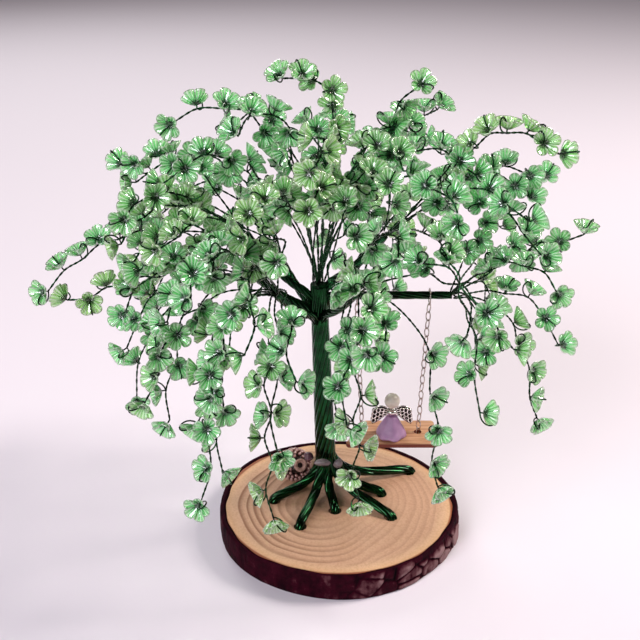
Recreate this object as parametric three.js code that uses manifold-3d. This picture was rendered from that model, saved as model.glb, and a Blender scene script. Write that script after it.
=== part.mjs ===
// A bead-and-wire tree on a slice of log, with a little swing hung from one limb.
// Millimetres, +Z up, origin at the middle of the slice's underside, -Y towards the viewer.
import * as THREE from "three";
import { mergeVertices } from "three/addons/utils/BufferGeometryUtils.js";
import Module from "manifold-3d";

const wasm = await Module();
wasm.setup();

// Driving dimensions
const GAP = 0.3; // left between pieces that touch
const SLICE = { halfWidth: 47.4, halfDepth: 45.6, thick: 11.5, points: 40 };
const SLICE_SWELLS = [[3, 0.006, 0.5], [5, 0.008, 2]]; // waves round its edge, their share of it, their turn
const TRUNK = { foot: [-4.5, 7, 19], top: [-7.5, 7, 101], footRadius: 4.1, topRadius: 3 };
const FLUTES = { strands: 7, turns: 0.9, depth: 0.08 }; // of the trunk, depth as a share of its radius
const ROOT = { radius: 1.6, leavesAt: 33, holeClearance: 1, holeDepth: 6, endClearance: 0.7 };
const ROOT_BENDS = [[0.12, 24.5], [0.26, 19.6], [0.5, 16], [1, 12.4]]; // share of the way out, height there
const ROOT_HOLES = [
  [-14.5, -17.2], [-1.2, -7.2], [-25, -0.6], [20, -11.4],
  [17, 3.9], [29.5, 19.5], [-6, 31.5],
];
const LIMB = { startRadius: 1.7, endRadius: 1.45, sag: 0.2 };
const SPRAY_RING = { limb: 1.23, crown: 2.1 }; // radius of the ring of branches on a limb and on the trunk
const WIRE = { diameter: 0.8, steps: 8 }; // of a branch, which bends in short straight steps
const BEAD = { petals: 5, radius: 5, notch: 3.8, depth: 3.4, throat: 1.3, bite: 0.12 };
const BEAD_SHARES = [0.985, 0.6]; // where a branch's beads sit, as shares of its length
const BEAD_SWING = { reach: 0.9, perBead: 2.4, perBranch: 1.7 }; // to either side of outwards and up
const BEAD_ROOM = { fromWire: 6.5, wireStep: 3 }; // left round another branch, tested at steps along it
const BRANCH_PULL = 0.5; // share of a branch's span that its start and end directions hold for
const SEAT = { x: 20.5, top: 38.5, length: 35, width: 17.5, thick: 2, slant: 7, holeRadius: 2.1 };
const CHAIN = { tops: [6.5, 33], feet: [9.5, 31], pitch: 4.1, width: 3.1, wire: 0.8, bite: 0.1 };
const RING = { innerRadius: 2.7, wire: 0.8 };
const SKIRT = { height: 8.8, radius: 6, neck: 1.5, forward: 2.6 }; // forward of the seat's middle line
const WINGS = { thick: 2, reach: 7.6, rise: 2.9, drop: 5.4, neckHeight: 2.6, neckWidth: 3.6 };
const PEARL_RADIUS = 3;
const CONE = { place: [-17.2, 14.4, 18.5], radius: 6.8, length: 12.5, rows: 5, turn: 25, lift: 28 };
const CONE_BELLY = { widen: 1.15, from: 0.22 }; // its outline is an arc of a circle, in shares of its length
const CHIPS = {
  chip_front: { place: [-6.1, 0.5, 28.6], size: [7.4, 3.4, 3.2] },
  chip_left: { place: [-11.5, 4, 29], size: [4.2, 4, 3.8] },
  chip_right: { place: [0, 0.9, 27.8], size: [4.2, 3.8, 4] },
};
// Kept clear of beads, so that the swing can move
const SWING_ROOM = { low: [-1, -24, 30], high: [42, 38, 96] };

// Each limb: the side of the trunk that it leaves, its height there, its end, and its branches.
// Each branch: its tip's place, the angle at which it leaves the limb, and the angle at which its tip falls.
const LIMBS = {
  limb_left_upper: {
    side: 180, height: 98, end: [-33, 5, 121],
    branches: [
      [-104, -2, 102, 5, 45], [-77, 12, 143, 60, 25], [-70, -25, 137, 30, 35],
      [-78, 40, 100, 25, 60],
    ],
  },
  limb_left: {
    side: 182, height: 92, end: [-29, 6, 103],
    branches: [
      [-94, -15, 103, 18, 12], [-76, -6, 80, 5, 80], [-62, -32, 92, 25, 80],
      [-60, -28, 64, 25, 85],
    ],
  },
  limb_front_left: {
    side: 235, height: 90, end: [-22, -14, 106],
    branches: [
      [-47, -38, 68, 25, 82], [-46, -50, 44, 25, 75], [-24, -48, 37, 30, 88],
      [-46, -60, 124, 50, 50], [-28, -66, 108, 40, 65],
    ],
  },
  limb_front_right: {
    side: 295, height: 91, end: [5, -16, 107],
    branches: [
      [-2, -40, 70, 25, 85], [5, -44, 42, 30, 85], [6, -66, 110, 40, 65],
      [32, -42, 45, 12, 88],
    ],
  },
  limb_right: {
    side: 0, height: 96.5, end: [41, 7, 96.5],
    branches: [
      [46, -34, 70, 20, 85], [70, -18, 58, 25, 78], [80, 0, 78, 25, 75],
      [86, 2, 121, 30, -8], [76, 24, 104, 25, 45], [62, 50, 66, 25, 80],
    ],
  },
  limb_right_upper: {
    side: 5, height: 102, end: [16, 6, 120],
    branches: [
      [70, -15, 154, 50, 38], [58, -34, 138, 40, 35], [26, 10, 173, 75, -45],
      [74, 16, 137, 40, 25], [38, -58, 110, 25, 65],
    ],
  },
  limb_back_right: {
    side: 55, height: 91, end: [12, 30, 108],
    branches: [[46, 58, 112, 40, 55], [12, 75, 112, 40, 60], [25, 78, 68, 30, 80]],
  },
  limb_back_left: {
    side: 125, height: 90, end: [-25, 30, 108],
    branches: [[-60, 52, 120, 40, 50], [-28, 76, 106, 40, 60], [-50, 68, 72, 30, 80]],
  },
};
// Branches that rise from the top of the trunk, in the same terms
const CROWN_BRANCHES = [
  [-57, 2, 161, 88, 30], [-20, 2, 175, 86, 10], [-34, -22, 162, 80, 40],
  [-8, -42, 156, 75, 45], [36, 24, 160, 70, 0], [0, 52, 148, 70, 40],
];

const green = new THREE.MeshStandardMaterial({ color: 0x0d3f22, roughness: 0.3, metalness: 0.8 });
const leaf = new THREE.MeshStandardMaterial({ color: 0x7fc98a, roughness: 0.15, metalness: 0 });
const logWood = new THREE.MeshStandardMaterial({ color: 0xcf9f74, roughness: 0.75, metalness: 0 });
const seatWood = new THREE.MeshStandardMaterial({ color: 0xb98a5e, roughness: 0.7, metalness: 0 });
const silver = new THREE.MeshStandardMaterial({ color: 0xb9a9a4, roughness: 0.3, metalness: 1 });
const lavender = new THREE.MeshStandardMaterial({ color: 0x9a72ad, roughness: 0.5, metalness: 0 });
const pearl = new THREE.MeshStandardMaterial({ color: 0xe9dfd3, roughness: 0.25, metalness: 0 });
const coneBrown = new THREE.MeshStandardMaterial({ color: 0x5c3a36, roughness: 0.4, metalness: 0 });
const quartz = new THREE.MeshStandardMaterial({ color: 0xa8989a, roughness: 0.35, metalness: 0 });

const vector = (place) => new THREE.Vector3(...place);
const radians = THREE.MathUtils.degToRad;

// A closed mesh as a solid, and a solid as a mesh's geometry
function solidOf(geometry) {
  const bare = new THREE.BufferGeometry();
  bare.setAttribute("position", geometry.getAttribute("position"));
  bare.setIndex(geometry.getIndex());
  const merged = mergeVertices(bare, 1e-4);
  return new wasm.Manifold(
    new wasm.Mesh({
      numProp: 3,
      vertProperties: new Float32Array(merged.getAttribute("position").array),
      triVerts: new Uint32Array(merged.getIndex().array),
    }),
  );
}

function geometryOf(solid) {
  const mesh = solid.getMesh();
  const geometry = new THREE.BufferGeometry();
  geometry.setAttribute("position", new THREE.BufferAttribute(mesh.vertProperties, 3));
  geometry.setIndex(new THREE.BufferAttribute(mesh.triVerts, 1));
  return geometry;
}

const joined = (geometries) => geometries.map(solidOf).reduce((all, next) => all.add(next));

function geometryFrom(points, faces) {
  const geometry = new THREE.BufferGeometry().setFromPoints(points);
  return geometry.setIndex(faces.flat());
}

// Faces of a tube of rings that each hold the same number of points, closed by a flat cap at both ends
function tubeFaces(rings, sides) {
  const faces = [];
  for (let ring = 0; ring < rings - 1; ring++) {
    for (let side = 0; side < sides; side++) {
      const a = ring * sides + side;
      const b = ring * sides + ((side + 1) % sides);
      faces.push([a, b, b + sides], [a, b + sides, a + sides]);
    }
  }
  const last = (rings - 1) * sides;
  for (let side = 1; side < sides - 1; side++) {
    faces.push([0, side + 1, side], [last, last + side, last + side + 1]);
  }
  return faces;
}

// A closed tube along a curve; radiusAt(share of the length, angle round the tube) gives its radius
function tube(curve, radiusAt, sides, steps) {
  const frames = curve.computeFrenetFrames(steps);
  const points = [];
  for (let step = 0; step <= steps; step++) {
    const centre = curve.getPointAt(step / steps);
    for (let side = 0; side < sides; side++) {
      const angle = (2 * Math.PI * side) / sides;
      const radius = radiusAt(step / steps, angle);
      const out = frames.normals[step].clone().multiplyScalar(Math.cos(angle) * radius);
      out.addScaledVector(frames.binormals[step], Math.sin(angle) * radius);
      points.push(centre.clone().add(out));
    }
  }
  return geometryFrom(points, tubeFaces(steps + 1, sides));
}

// Slice of log, its edge a little out of round, with a blind hole for each root
function woodSlice() {
  const edge = [];
  for (let i = 0; i < SLICE.points; i++) {
    const a = (2 * Math.PI * i) / SLICE.points;
    const swells = SLICE_SWELLS.map(([waves, share, turn]) => share * Math.sin(waves * a + turn));
    const swell = swells.reduce((sum, part) => sum + part, 1);
    const point = new THREE.Vector2(SLICE.halfWidth * Math.cos(a), SLICE.halfDepth * Math.sin(a));
    edge.push(point.multiplyScalar(swell));
  }
  const outline = new THREE.Shape(edge);
  let solid = solidOf(new THREE.ExtrudeGeometry(outline, { depth: SLICE.thick, bevelEnabled: false }));
  for (const [x, y] of ROOT_HOLES) {
    const radius = ROOT.radius + ROOT.holeClearance;
    const drill = new THREE.CylinderGeometry(radius, radius, 2 * ROOT.holeDepth, 8);
    drill.rotateX(Math.PI / 2).translate(x, y, SLICE.thick);
    solid = solid.subtract(solidOf(drill));
  }
  return geometryOf(solid);
}

const trunkLine = new THREE.LineCurve3(vector(TRUNK.foot), vector(TRUNK.top));
const trunkAt = (height) => trunkLine.getPoint((height - TRUNK.foot[2]) / (TRUNK.top[2] - TRUNK.foot[2]));

// Trunk: wires twisted into one fluted bundle, which parts into roots that dip into the slice's holes
function trunkAndRoots() {
  const flutes = (share, angle) => {
    const radius = THREE.MathUtils.lerp(TRUNK.footRadius, TRUNK.topRadius, share);
    const turned = angle + 2 * Math.PI * FLUTES.turns * share;
    return radius * (1 + FLUTES.depth * Math.cos(FLUTES.strands * turned));
  };
  const pieces = [tube(trunkLine, flutes, 2 * FLUTES.strands, 8)];
  for (const [x, y] of ROOT_HOLES) {
    const start = trunkAt(ROOT.leavesAt);
    const towards = (share, height) => new THREE.Vector3(
      THREE.MathUtils.lerp(start.x, x, share), THREE.MathUtils.lerp(start.y, y, share), height,
    );
    const end = SLICE.thick - ROOT.holeDepth + ROOT.endClearance;
    const bends = ROOT_BENDS.map(([share, height]) => towards(share, height));
    const path = new THREE.CatmullRomCurve3([start, ...bends, towards(1, end)]);
    pieces.push(tube(path, () => ROOT.radius, 5, 9));
  }
  return geometryOf(joined(pieces));
}

// Limb: a bundle of branch wires that leaves the trunk and ends where its branches spread
function limbCurve({ side, height, end }) {
  const out = new THREE.Vector3(Math.cos(radians(side)), Math.sin(radians(side)), 0);
  const start = trunkAt(Math.min(height, TRUNK.top[2]));
  start.z = height;
  const finish = vector(end);
  const slope = (end[2] - height) / start.distanceTo(finish);
  start.addScaledVector(out, TRUNK.topRadius * 1.2 + LIMB.startRadius * slope + GAP);
  const bend = start.clone().lerp(finish, 0.5);
  bend.z -= LIMB.sag * (end[2] - height);
  return new THREE.QuadraticBezierCurve3(start, bend, finish);
}

function limb(curve) {
  const radiusAt = (share) => THREE.MathUtils.lerp(LIMB.startRadius, LIMB.endRadius, share);
  return tube(curve, radiusAt, 6, 5);
}

// Branch wire: it leaves at its rise angle, arches over and comes down to its tip at its fall angle
function branchCurve(start, [x, y, z, rise, fall]) {
  const tip = new THREE.Vector3(x, y, z);
  const level = new THREE.Vector3(x - start.x, y - start.y, 0).normalize();
  const pull = BRANCH_PULL * start.distanceTo(tip);
  const leave = level.clone().multiplyScalar(Math.cos(radians(rise)));
  const arrive = level.clone().multiplyScalar(Math.cos(radians(fall)));
  leave.z = Math.sin(radians(rise));
  arrive.z = -Math.sin(radians(fall));
  return new THREE.CubicBezierCurve3(
    start, start.clone().addScaledVector(leave, pull), tip.clone().addScaledVector(arrive, -pull), tip,
  );
}

// The starts of a spray of branches stand in a ring on the end of the bundle that they leave,
// in the order of the branches' own directions
function sprayCurves(end, direction, ringRadius, branches) {
  const across = Math.abs(direction.z) > 0.99 ? new THREE.Vector3(1, 0, 0) : new THREE.Vector3(0, 0, 1);
  across.cross(direction).normalize();
  const upright = direction.clone().cross(across);
  const step = (2 * Math.PI) / branches.length;
  const order = branches.map((branch) => {
    const way = vector(branch).sub(end);
    return { branch, angle: Math.atan2(way.dot(upright), way.dot(across)) };
  });
  order.sort((a, b) => a.angle - b.angle);
  const sum = (wave) => order.reduce((total, { angle }, i) => total + wave(angle - step * i), 0);
  const first = Math.atan2(sum(Math.sin), sum(Math.cos));
  return order.map(({ branch }, i) => {
    const start = end.clone().addScaledVector(direction, GAP + WIRE.diameter / 2);
    start.addScaledVector(across, ringRadius * Math.cos(first + step * i));
    start.addScaledVector(upright, ringRadius * Math.sin(first + step * i));
    return branchCurve(start, branch);
  });
}

// Flower bead: a cup of petals round a throat, seated on the wire by the point of its back.
// The back of each petal is a flat kite from that point, so its notches stand lower than its tip.
function flowerBead(place, axis) {
  const half = Math.PI / BEAD.petals;
  const notchHeight = (BEAD.depth * BEAD.notch * Math.cos(half)) / BEAD.radius;
  const points = [new THREE.Vector3(0, 0, 0), new THREE.Vector3(0, 0, BEAD.throat)];
  const faces = [];
  const rimPoints = 2 * BEAD.petals;
  for (let i = 0; i < rimPoints; i++) {
    const [radius, height] = i % 2 ? [BEAD.notch, notchHeight] : [BEAD.radius, BEAD.depth];
    points.push(new THREE.Vector3(radius * Math.cos(half * i), radius * Math.sin(half * i), height));
    const here = 2 + i;
    const next = 2 + ((i + 1) % rimPoints);
    faces.push([0, next, here], [1, here, next]);
  }
  const turn = new THREE.Quaternion().setFromUnitVectors(new THREE.Vector3(0, 0, 1), axis);
  const seat = place.clone().addScaledVector(axis, -BEAD.bite);
  return geometryFrom(points.map((p) => p.applyQuaternion(turn).add(seat)), faces);
}

// Point on the wire as it is bent, at a share of its length
function onWire(curve, share) {
  const step = Math.min(Math.floor(share * WIRE.steps), WIRE.steps - 1);
  const from = curve.getPointAt(step / WIRE.steps);
  return from.lerp(curve.getPointAt((step + 1) / WIRE.steps), share * WIRE.steps - step);
}

// Side of the wire that a bead sits on: outwards and up, swung to either side in turn
function beadAxis(curve, share, turn) {
  const along = curve.getTangentAt(share);
  const place = curve.getPointAt(share);
  const out = new THREE.Vector3(place.x - TRUNK.top[0], place.y - TRUNK.top[1], 0).normalize();
  out.z = 1;
  out.addScaledVector(along, -out.dot(along)).normalize();
  return out.applyAxisAngle(along, turn);
}

// Keeps beads of different branches apart, and out of the swing's way
const crowded = [];
const inSwingRoom = (p) =>
  ["x", "y", "z"].every((axis, i) => p[axis] > SWING_ROOM.low[i] && p[axis] < SWING_ROOM.high[i]);
const isClear = (place, name) =>
  !inSwingRoom(place) && crowded.every((c) => c.name === name || c.place.distanceTo(place) > c.reach);

function branchBeads(name, curve, index) {
  const beads = [];
  BEAD_SHARES.forEach((share, k) => {
    const swing = Math.sin(BEAD_SWING.perBead * k + BEAD_SWING.perBranch * index);
    const axis = beadAxis(curve, share, BEAD_SWING.reach * swing);
    const place = onWire(curve, share);
    const middle = place.clone().addScaledVector(axis, BEAD.depth / 2);
    if (isClear(middle, name)) {
      beads.push(flowerBead(place, axis));
      crowded.push({ name, place: middle, reach: 2 * BEAD.radius + GAP });
    }
  });
  return beads;
}

// Chain link: a closed loop of wire with flat ends, standing in the XZ plane
function chainLink(length, width, wire, corners) {
  const points = [];
  const faces = [];
  const sides = 3;
  const mitre = 1 / Math.cos(Math.PI / corners);
  for (let i = 0; i < corners; i++) {
    const a = (2 * Math.PI * (i + 0.5)) / corners;
    for (let s = 0; s < sides; s++) {
      const b = (2 * Math.PI * s) / sides;
      const out = (Math.cos(b) * wire - wire) / 2;
      const x = (width / 2 + out) * mitre * Math.sin(a);
      const z = (length / 2 + out) * mitre * Math.cos(a);
      points.push(new THREE.Vector3(x, (Math.sin(b) * wire) / 2, z));
      const next = (i + 1) % corners;
      const [a0, a1] = [i * sides + s, i * sides + ((s + 1) % sides)];
      const [b0, b1] = [next * sides + s, next * sides + ((s + 1) % sides)];
      faces.push([a0, b1, a1], [a0, b0, b1]);
    }
  }
  return geometryFrom(points, faces);
}

// Chain: a ring round the limb, then links that each hang in the last, turned a quarter from it.
// A link's wire is three-sided, so its inner face lies three quarters of the wire's thickness in.
function chain(topX, footX, limbPlace) {
  const inner = 0.75;
  const ringSize = 2 * (RING.innerRadius + inner * RING.wire);
  const ringMiddle = limbPlace.z - (RING.innerRadius - LIMB.startRadius - GAP);
  const ring = chainLink(ringSize, ringSize, RING.wire, 8);
  ring.rotateZ(Math.PI / 2).translate(topX, limbPlace.y, ringMiddle);
  const top = new THREE.Vector3(topX, limbPlace.y, ringMiddle - RING.innerRadius);
  const foot = new THREE.Vector3(footX, limbPlace.y, SEAT.top - SEAT.thick + GAP);
  const drop = top.distanceTo(foot);
  const lean = Math.atan2(footX - topX, top.z - foot.z);
  const thick = inner * CHAIN.wire;
  const count = Math.round((drop - thick) / CHAIN.pitch);
  const spacing = (drop - thick) / count;
  const links = [ring];
  for (let i = 0; i < count; i++) {
    const link = chainLink(spacing + 2 * thick - CHAIN.bite, CHAIN.width, CHAIN.wire, 4);
    link.rotateZ(i % 2 ? Math.PI / 4 : -Math.PI / 4).rotateY(-lean);
    const place = top.clone().lerp(foot, ((i + 0.5) * spacing + CHAIN.bite / 2) / drop);
    links.push(link.translate(place.x, place.y, place.z));
  }
  return geometryOf(joined(links));
}

// Swing seat: a plain wooden slat, one end cut on the slant, with a hole at each end for its chain
function swingSeat() {
  const half = SEAT.length / 2;
  const plank = new THREE.Shape();
  plank.moveTo(-half, -SEAT.width / 2).lineTo(half, -SEAT.width / 2);
  plank.lineTo(half, SEAT.width / 2).lineTo(-half + SEAT.slant, SEAT.width / 2).closePath();
  for (const x of CHAIN.feet) {
    plank.holes.push(new THREE.Path().absarc(x - SEAT.x, 0, SEAT.holeRadius, 0, 2 * Math.PI, true));
  }
  return new THREE.ExtrudeGeometry(plank, { depth: SEAT.thick, bevelEnabled: false, curveSegments: 6 });
}

// Angel: a bell flower for a skirt, a pair of wings at the neck, and a pearl for a head
function angelSkirt() {
  const profile = [[0, 0], [0.93, 0], [1, 0.08], [0.86, 0.3], [0.66, 0.55], [0.45, 0.8]].map(
    ([radius, height]) => new THREE.Vector2(radius * SKIRT.radius, height * SKIRT.height),
  );
  profile.push(new THREE.Vector2(SKIRT.neck, SKIRT.height), new THREE.Vector2(0, SKIRT.height));
  return new THREE.LatheGeometry(profile, 10).rotateX(Math.PI / 2);
}

function angelWings() {
  const { reach, rise, drop, neckHeight, neckWidth } = WINGS;
  const [x, z] = [neckWidth / 2, neckHeight / 2];
  const wing = (side) => [
    [side * 0.4 * reach, rise, side * 0.95 * reach, rise, side * 0.95 * reach, -0.1 * drop],
    [side * 0.95 * reach, -0.6 * drop, side * reach, -0.8 * drop, side * reach, -drop],
    [side * 0.6 * reach, -0.9 * drop, side * 0.45 * reach, -z, side * x, -z],
  ];
  const outline = new THREE.Shape().moveTo(-x, z).lineTo(x, z);
  wing(1).forEach((curve) => outline.bezierCurveTo(...curve));
  outline.lineTo(-x, -z);
  const [over, outer, under] = wing(-1);
  outline.bezierCurveTo(under[2], under[3], under[0], under[1], outer[4], outer[5]);
  outline.bezierCurveTo(outer[2], outer[3], outer[0], outer[1], over[4], over[5]);
  outline.bezierCurveTo(over[2], over[3], over[0], over[1], -x, z);
  const depth = WINGS.thick;
  const plate = new THREE.ExtrudeGeometry(outline, { depth, bevelEnabled: false, curveSegments: 3 });
  return plate.rotateX(Math.PI / 2).translate(0, WINGS.thick / 2, 0);
}

// Pine cone: rows of scales that step in towards its tip, lying back with its stem end up and to the front
function pineCone() {
  const profile = [new THREE.Vector2(0, 0)];
  for (let row = 0; row < CONE.rows; row++) {
    const share = row / CONE.rows;
    const radius = CONE.radius * Math.sqrt(1 - Math.pow(share * CONE_BELLY.widen - CONE_BELLY.from, 2));
    profile.push(new THREE.Vector2(0.8 * radius, (share + 0.02) * CONE.length));
    profile.push(new THREE.Vector2(radius, (share + 0.12) * CONE.length));
  }
  profile.push(new THREE.Vector2(0, CONE.length));
  return new THREE.LatheGeometry(profile, 9).translate(0, -CONE.length / 2, 0);
}

// Stone chip: a lump with flattened faces
function stoneChip([length, depth, height]) {
  return new THREE.DodecahedronGeometry(0.5, 0).scale(length, depth, height);
}

const tree = new THREE.Group();
const add = (name, geometry, material) => {
  const mesh = new THREE.Mesh(geometry, material);
  mesh.name = name;
  tree.add(mesh);
  return mesh;
};

add("wood_slice", woodSlice(), logWood);
add("trunk_and_roots", trunkAndRoots(), green);

const sprays = [];
for (const [name, plan] of Object.entries(LIMBS)) {
  const curve = limbCurve(plan);
  add(name, limb(curve), green);
  sprays.push(...sprayCurves(curve.getPoint(1), curve.getTangent(1), SPRAY_RING.limb, plan.branches));
}
const upwards = new THREE.Vector3(0, 0, 1);
sprays.push(...sprayCurves(vector(TRUNK.top), upwards, SPRAY_RING.crown, CROWN_BRANCHES));

const branchName = (i) => "branch_" + String(i + 1).padStart(2, "0");
sprays.forEach((curve, i) => {
  const steps = Math.round(curve.getLength() / BEAD_ROOM.wireStep);
  for (let s = 0; s <= steps; s++) {
    crowded.push({ name: branchName(i), place: curve.getPointAt(s / steps), reach: BEAD_ROOM.fromWire });
  }
});
sprays.forEach((curve, i) => {
  const wire = tube(curve, () => WIRE.diameter / 2, 3, WIRE.steps);
  add(branchName(i), geometryOf(joined([wire, ...branchBeads(branchName(i), curve, i)])), leaf);
});

const swingLimb = vector(LIMBS.limb_right.end);
add("chain_left", chain(CHAIN.tops[0], CHAIN.feet[0], swingLimb), silver);
add("chain_right", chain(CHAIN.tops[1], CHAIN.feet[1], swingLimb), silver);
add("swing_seat", swingSeat(), seatWood).position.set(SEAT.x, swingLimb.y, SEAT.top - SEAT.thick);

const angelY = swingLimb.y - SKIRT.forward;
const skirtFoot = SEAT.top + GAP;
const wingMiddle = skirtFoot + SKIRT.height + GAP + WINGS.neckHeight / 2;
const pearlMiddle = wingMiddle + WINGS.neckHeight / 2 + GAP + PEARL_RADIUS;
add("angel_skirt", angelSkirt(), lavender).position.set(SEAT.x, angelY, skirtFoot);
add("angel_wings", angelWings(), silver).position.set(SEAT.x, angelY, wingMiddle);
add("angel_pearl", new THREE.SphereGeometry(PEARL_RADIUS, 10, 8), pearl).position.set(
  SEAT.x, angelY, pearlMiddle,
);

const cone = add("pine_cone", pineCone(), coneBrown);
cone.position.set(...CONE.place);
cone.rotation.set(radians(-CONE.lift), 0, radians(CONE.turn), "ZYX");
for (const [name, { place, size }] of Object.entries(CHIPS)) {
  add(name, stoneChip(size), quartz).position.set(...place);
}

export default tree;
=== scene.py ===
# %% [markdown]
# # A bead-and-wire tree on a slice of log
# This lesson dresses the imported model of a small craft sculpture: a weeping tree of dark green wire, strung
# with clear green flower beads, on a slice of log, with a bead angel on a swing under one limb.
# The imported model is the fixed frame: every piece is made in its coordinates, in metres, +Z up.

# %% Load the frame
import math

import bpy
import numpy as np
from mathutils import Matrix, Vector, noise


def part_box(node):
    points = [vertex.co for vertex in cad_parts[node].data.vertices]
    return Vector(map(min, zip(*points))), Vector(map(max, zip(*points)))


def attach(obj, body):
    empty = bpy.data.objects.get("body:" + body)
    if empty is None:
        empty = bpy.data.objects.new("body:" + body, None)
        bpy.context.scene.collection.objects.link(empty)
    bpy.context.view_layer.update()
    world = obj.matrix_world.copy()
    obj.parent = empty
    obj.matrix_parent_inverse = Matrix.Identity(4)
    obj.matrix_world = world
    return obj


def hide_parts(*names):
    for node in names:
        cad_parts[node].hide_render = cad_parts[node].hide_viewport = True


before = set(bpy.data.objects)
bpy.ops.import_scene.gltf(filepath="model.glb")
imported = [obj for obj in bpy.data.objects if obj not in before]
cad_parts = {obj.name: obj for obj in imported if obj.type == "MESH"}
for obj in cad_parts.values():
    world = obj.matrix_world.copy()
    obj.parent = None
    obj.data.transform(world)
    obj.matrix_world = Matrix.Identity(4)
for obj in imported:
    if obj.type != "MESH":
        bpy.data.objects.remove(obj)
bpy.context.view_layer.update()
MM = 0.001

# %% [markdown]
# ## Helpers for shapes
# A shape here is a pair: an array of points and a list of faces. Plain arrays are the easy way to make
# hundreds of alike pieces, because a bead is worked out once and then only turned and moved.
# Wires, chain links and rims are all one kind of shape, a tube along a line of points.


# %% Shapes from rows of points
def joined(shapes):
    points, faces, start = [], [], 0
    for shape_points, shape_faces in shapes:
        points.append(shape_points)
        faces += [tuple(i + start for i in face) for face in shape_faces]
        start += len(shape_points)
    return np.concatenate(points), faces


def lofted(rows, ring=False):
    """Closed skin over rows of points, each row a closed loop; ring joins the last row to the first."""
    count, around = len(rows), len(rows[0])
    points = np.concatenate(rows)
    faces = []
    for row in range(count if ring else count - 1):
        after = (row + 1) % count
        for i in range(around):
            j = (i + 1) % around
            faces.append((row * around + i, row * around + j, after * around + j, after * around + i))
    if not ring:
        faces.append(tuple(reversed(range(around))))
        faces.append(tuple(range((count - 1) * around, count * around)))
    return points, faces


def turns_round(count):
    """Angles evenly round a circle."""
    return np.linspace(0, 2 * math.pi, count, endpoint=False)


print("row helpers ready")

# %% [markdown]
# ## Helpers for lines
# A tube needs two directions across its line at each point. They are carried along the line and turned as
# little as possible, because directions worked out afresh at each point can flip and pinch the tube.


# %% Lines and tubes
def unit(vectors):
    vectors = np.asarray(vectors, float)
    return vectors / np.linalg.norm(vectors, axis=-1, keepdims=True)


def frames_along(path, closed=False):
    """Tangents, normals and binormals along a line of points, turning as little as they can."""
    if closed:
        tangents = unit(np.roll(path, -1, axis=0) - np.roll(path, 1, axis=0))
    else:
        tangents = unit(np.gradient(path, axis=0))
    helper = (0, 0, 1) if abs(tangents[0][2]) < 0.9 else (1, 0, 0)
    normal = np.cross(tangents[0], helper)
    normals = []
    for tangent in tangents:
        normal = unit(normal - tangent * np.dot(normal, tangent))
        normals.append(normal)
    return tangents, np.array(normals), np.cross(tangents, normals)


def tube(path, radius, sides=6, closed=False):
    """Round tube along a line of points; its radius may be one value or one for each point."""
    _, normals, binormals = frames_along(path, closed)
    radii = np.broadcast_to(radius, len(path))
    angles = turns_round(sides)
    rows = [
        place + r * (np.outer(np.cos(angles), n) + np.outer(np.sin(angles), b))
        for place, r, n, b in zip(path, radii, normals, binormals)
    ]
    return lofted(rows, ring=closed)


def bezier(corners, steps):
    share = np.linspace(0, 1, steps + 1)[:, None]
    level = [np.asarray(corner, float) for corner in corners]
    while len(level) > 1:
        level = [a * (1 - share) + b * share for a, b in zip(level, level[1:])]
    return level[0]


def smooth_line(corners, steps):
    """A line that passes smoothly through its corners, with some steps to each span."""
    corners = np.asarray(corners, float)
    padded = np.vstack([2 * corners[0] - corners[1], corners, 2 * corners[-1] - corners[-2]])
    spans = []
    for a, b, c, d in zip(padded, padded[1:], padded[2:], padded[3:]):
        spans.append(bezier([b, b + (c - a) / 6, c - (d - b) / 6, c], steps)[:-1])
    return np.vstack(spans + [corners[-1:]])


print("line helpers ready")

# %% [markdown]
# ## Helpers for pieces
# Each piece rides on a body of the frame, takes the finish that it is given and hides the frame's nodes that
# it stands for. Some pieces also carry a colour at each point, which is how a finish can know where on a
# petal, a flake of bark or a cone scale it is.


# %% Pieces and point colours
def piece(name, shape, material, nodes=(), body="tree", smooth=True):
    points, faces = shape
    mesh = bpy.data.meshes.new(name)
    mesh.from_pydata(points.tolist(), [], faces)
    mesh.polygons.foreach_set("use_smooth", [smooth] * len(faces))
    mesh.materials.append(material)
    mesh.update()
    made = bpy.data.objects.new(name, mesh)
    bpy.context.scene.collection.objects.link(made)
    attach(made, body)
    if nodes:
        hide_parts(*nodes)
    return made


def paint(made, name, colours):
    """Stores a colour, or one value as a grey, for each point of a piece."""
    colours = np.asarray(colours, float)
    if colours.ndim == 1:
        colours = np.repeat(colours[:, None], 4, axis=1)
    attribute = made.data.color_attributes.new(name, "FLOAT_COLOR", "POINT")
    attribute.data.foreach_set("color", colours.ravel())


print("piece helpers ready")

# %% [markdown]
# ## Helpers for finishes
# Colours are given as sRGB hex values, as a paint chart gives them, and turned to the linear values that
# the shaders work in. Hardly any real surface is of one even colour, so most finishes here blend two
# colours by a noise whose patches have a real size.


# %% Finishes and their nodes
COLOUR_A, COLOUR_B, BLEND = 6, 7, 2  # a colour mix's two inputs and its output, by number


def linear(hex_colour):
    channels = [int(hex_colour[i : i + 2], 16) / 255 for i in (1, 3, 5)]
    return (*[c / 12.92 if c <= 0.04045 else ((c + 0.055) / 1.055) ** 2.4 for c in channels], 1)


def new_finish(name, **sockets):
    """A material with plain values set on its shader's own sockets."""
    material = bpy.data.materials.new(name)
    material.use_nodes = True
    shader = material.node_tree.nodes["Principled BSDF"]
    for socket, value in sockets.items():
        shader.inputs[socket.replace("_", " ")].default_value = value
    return material


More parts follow.
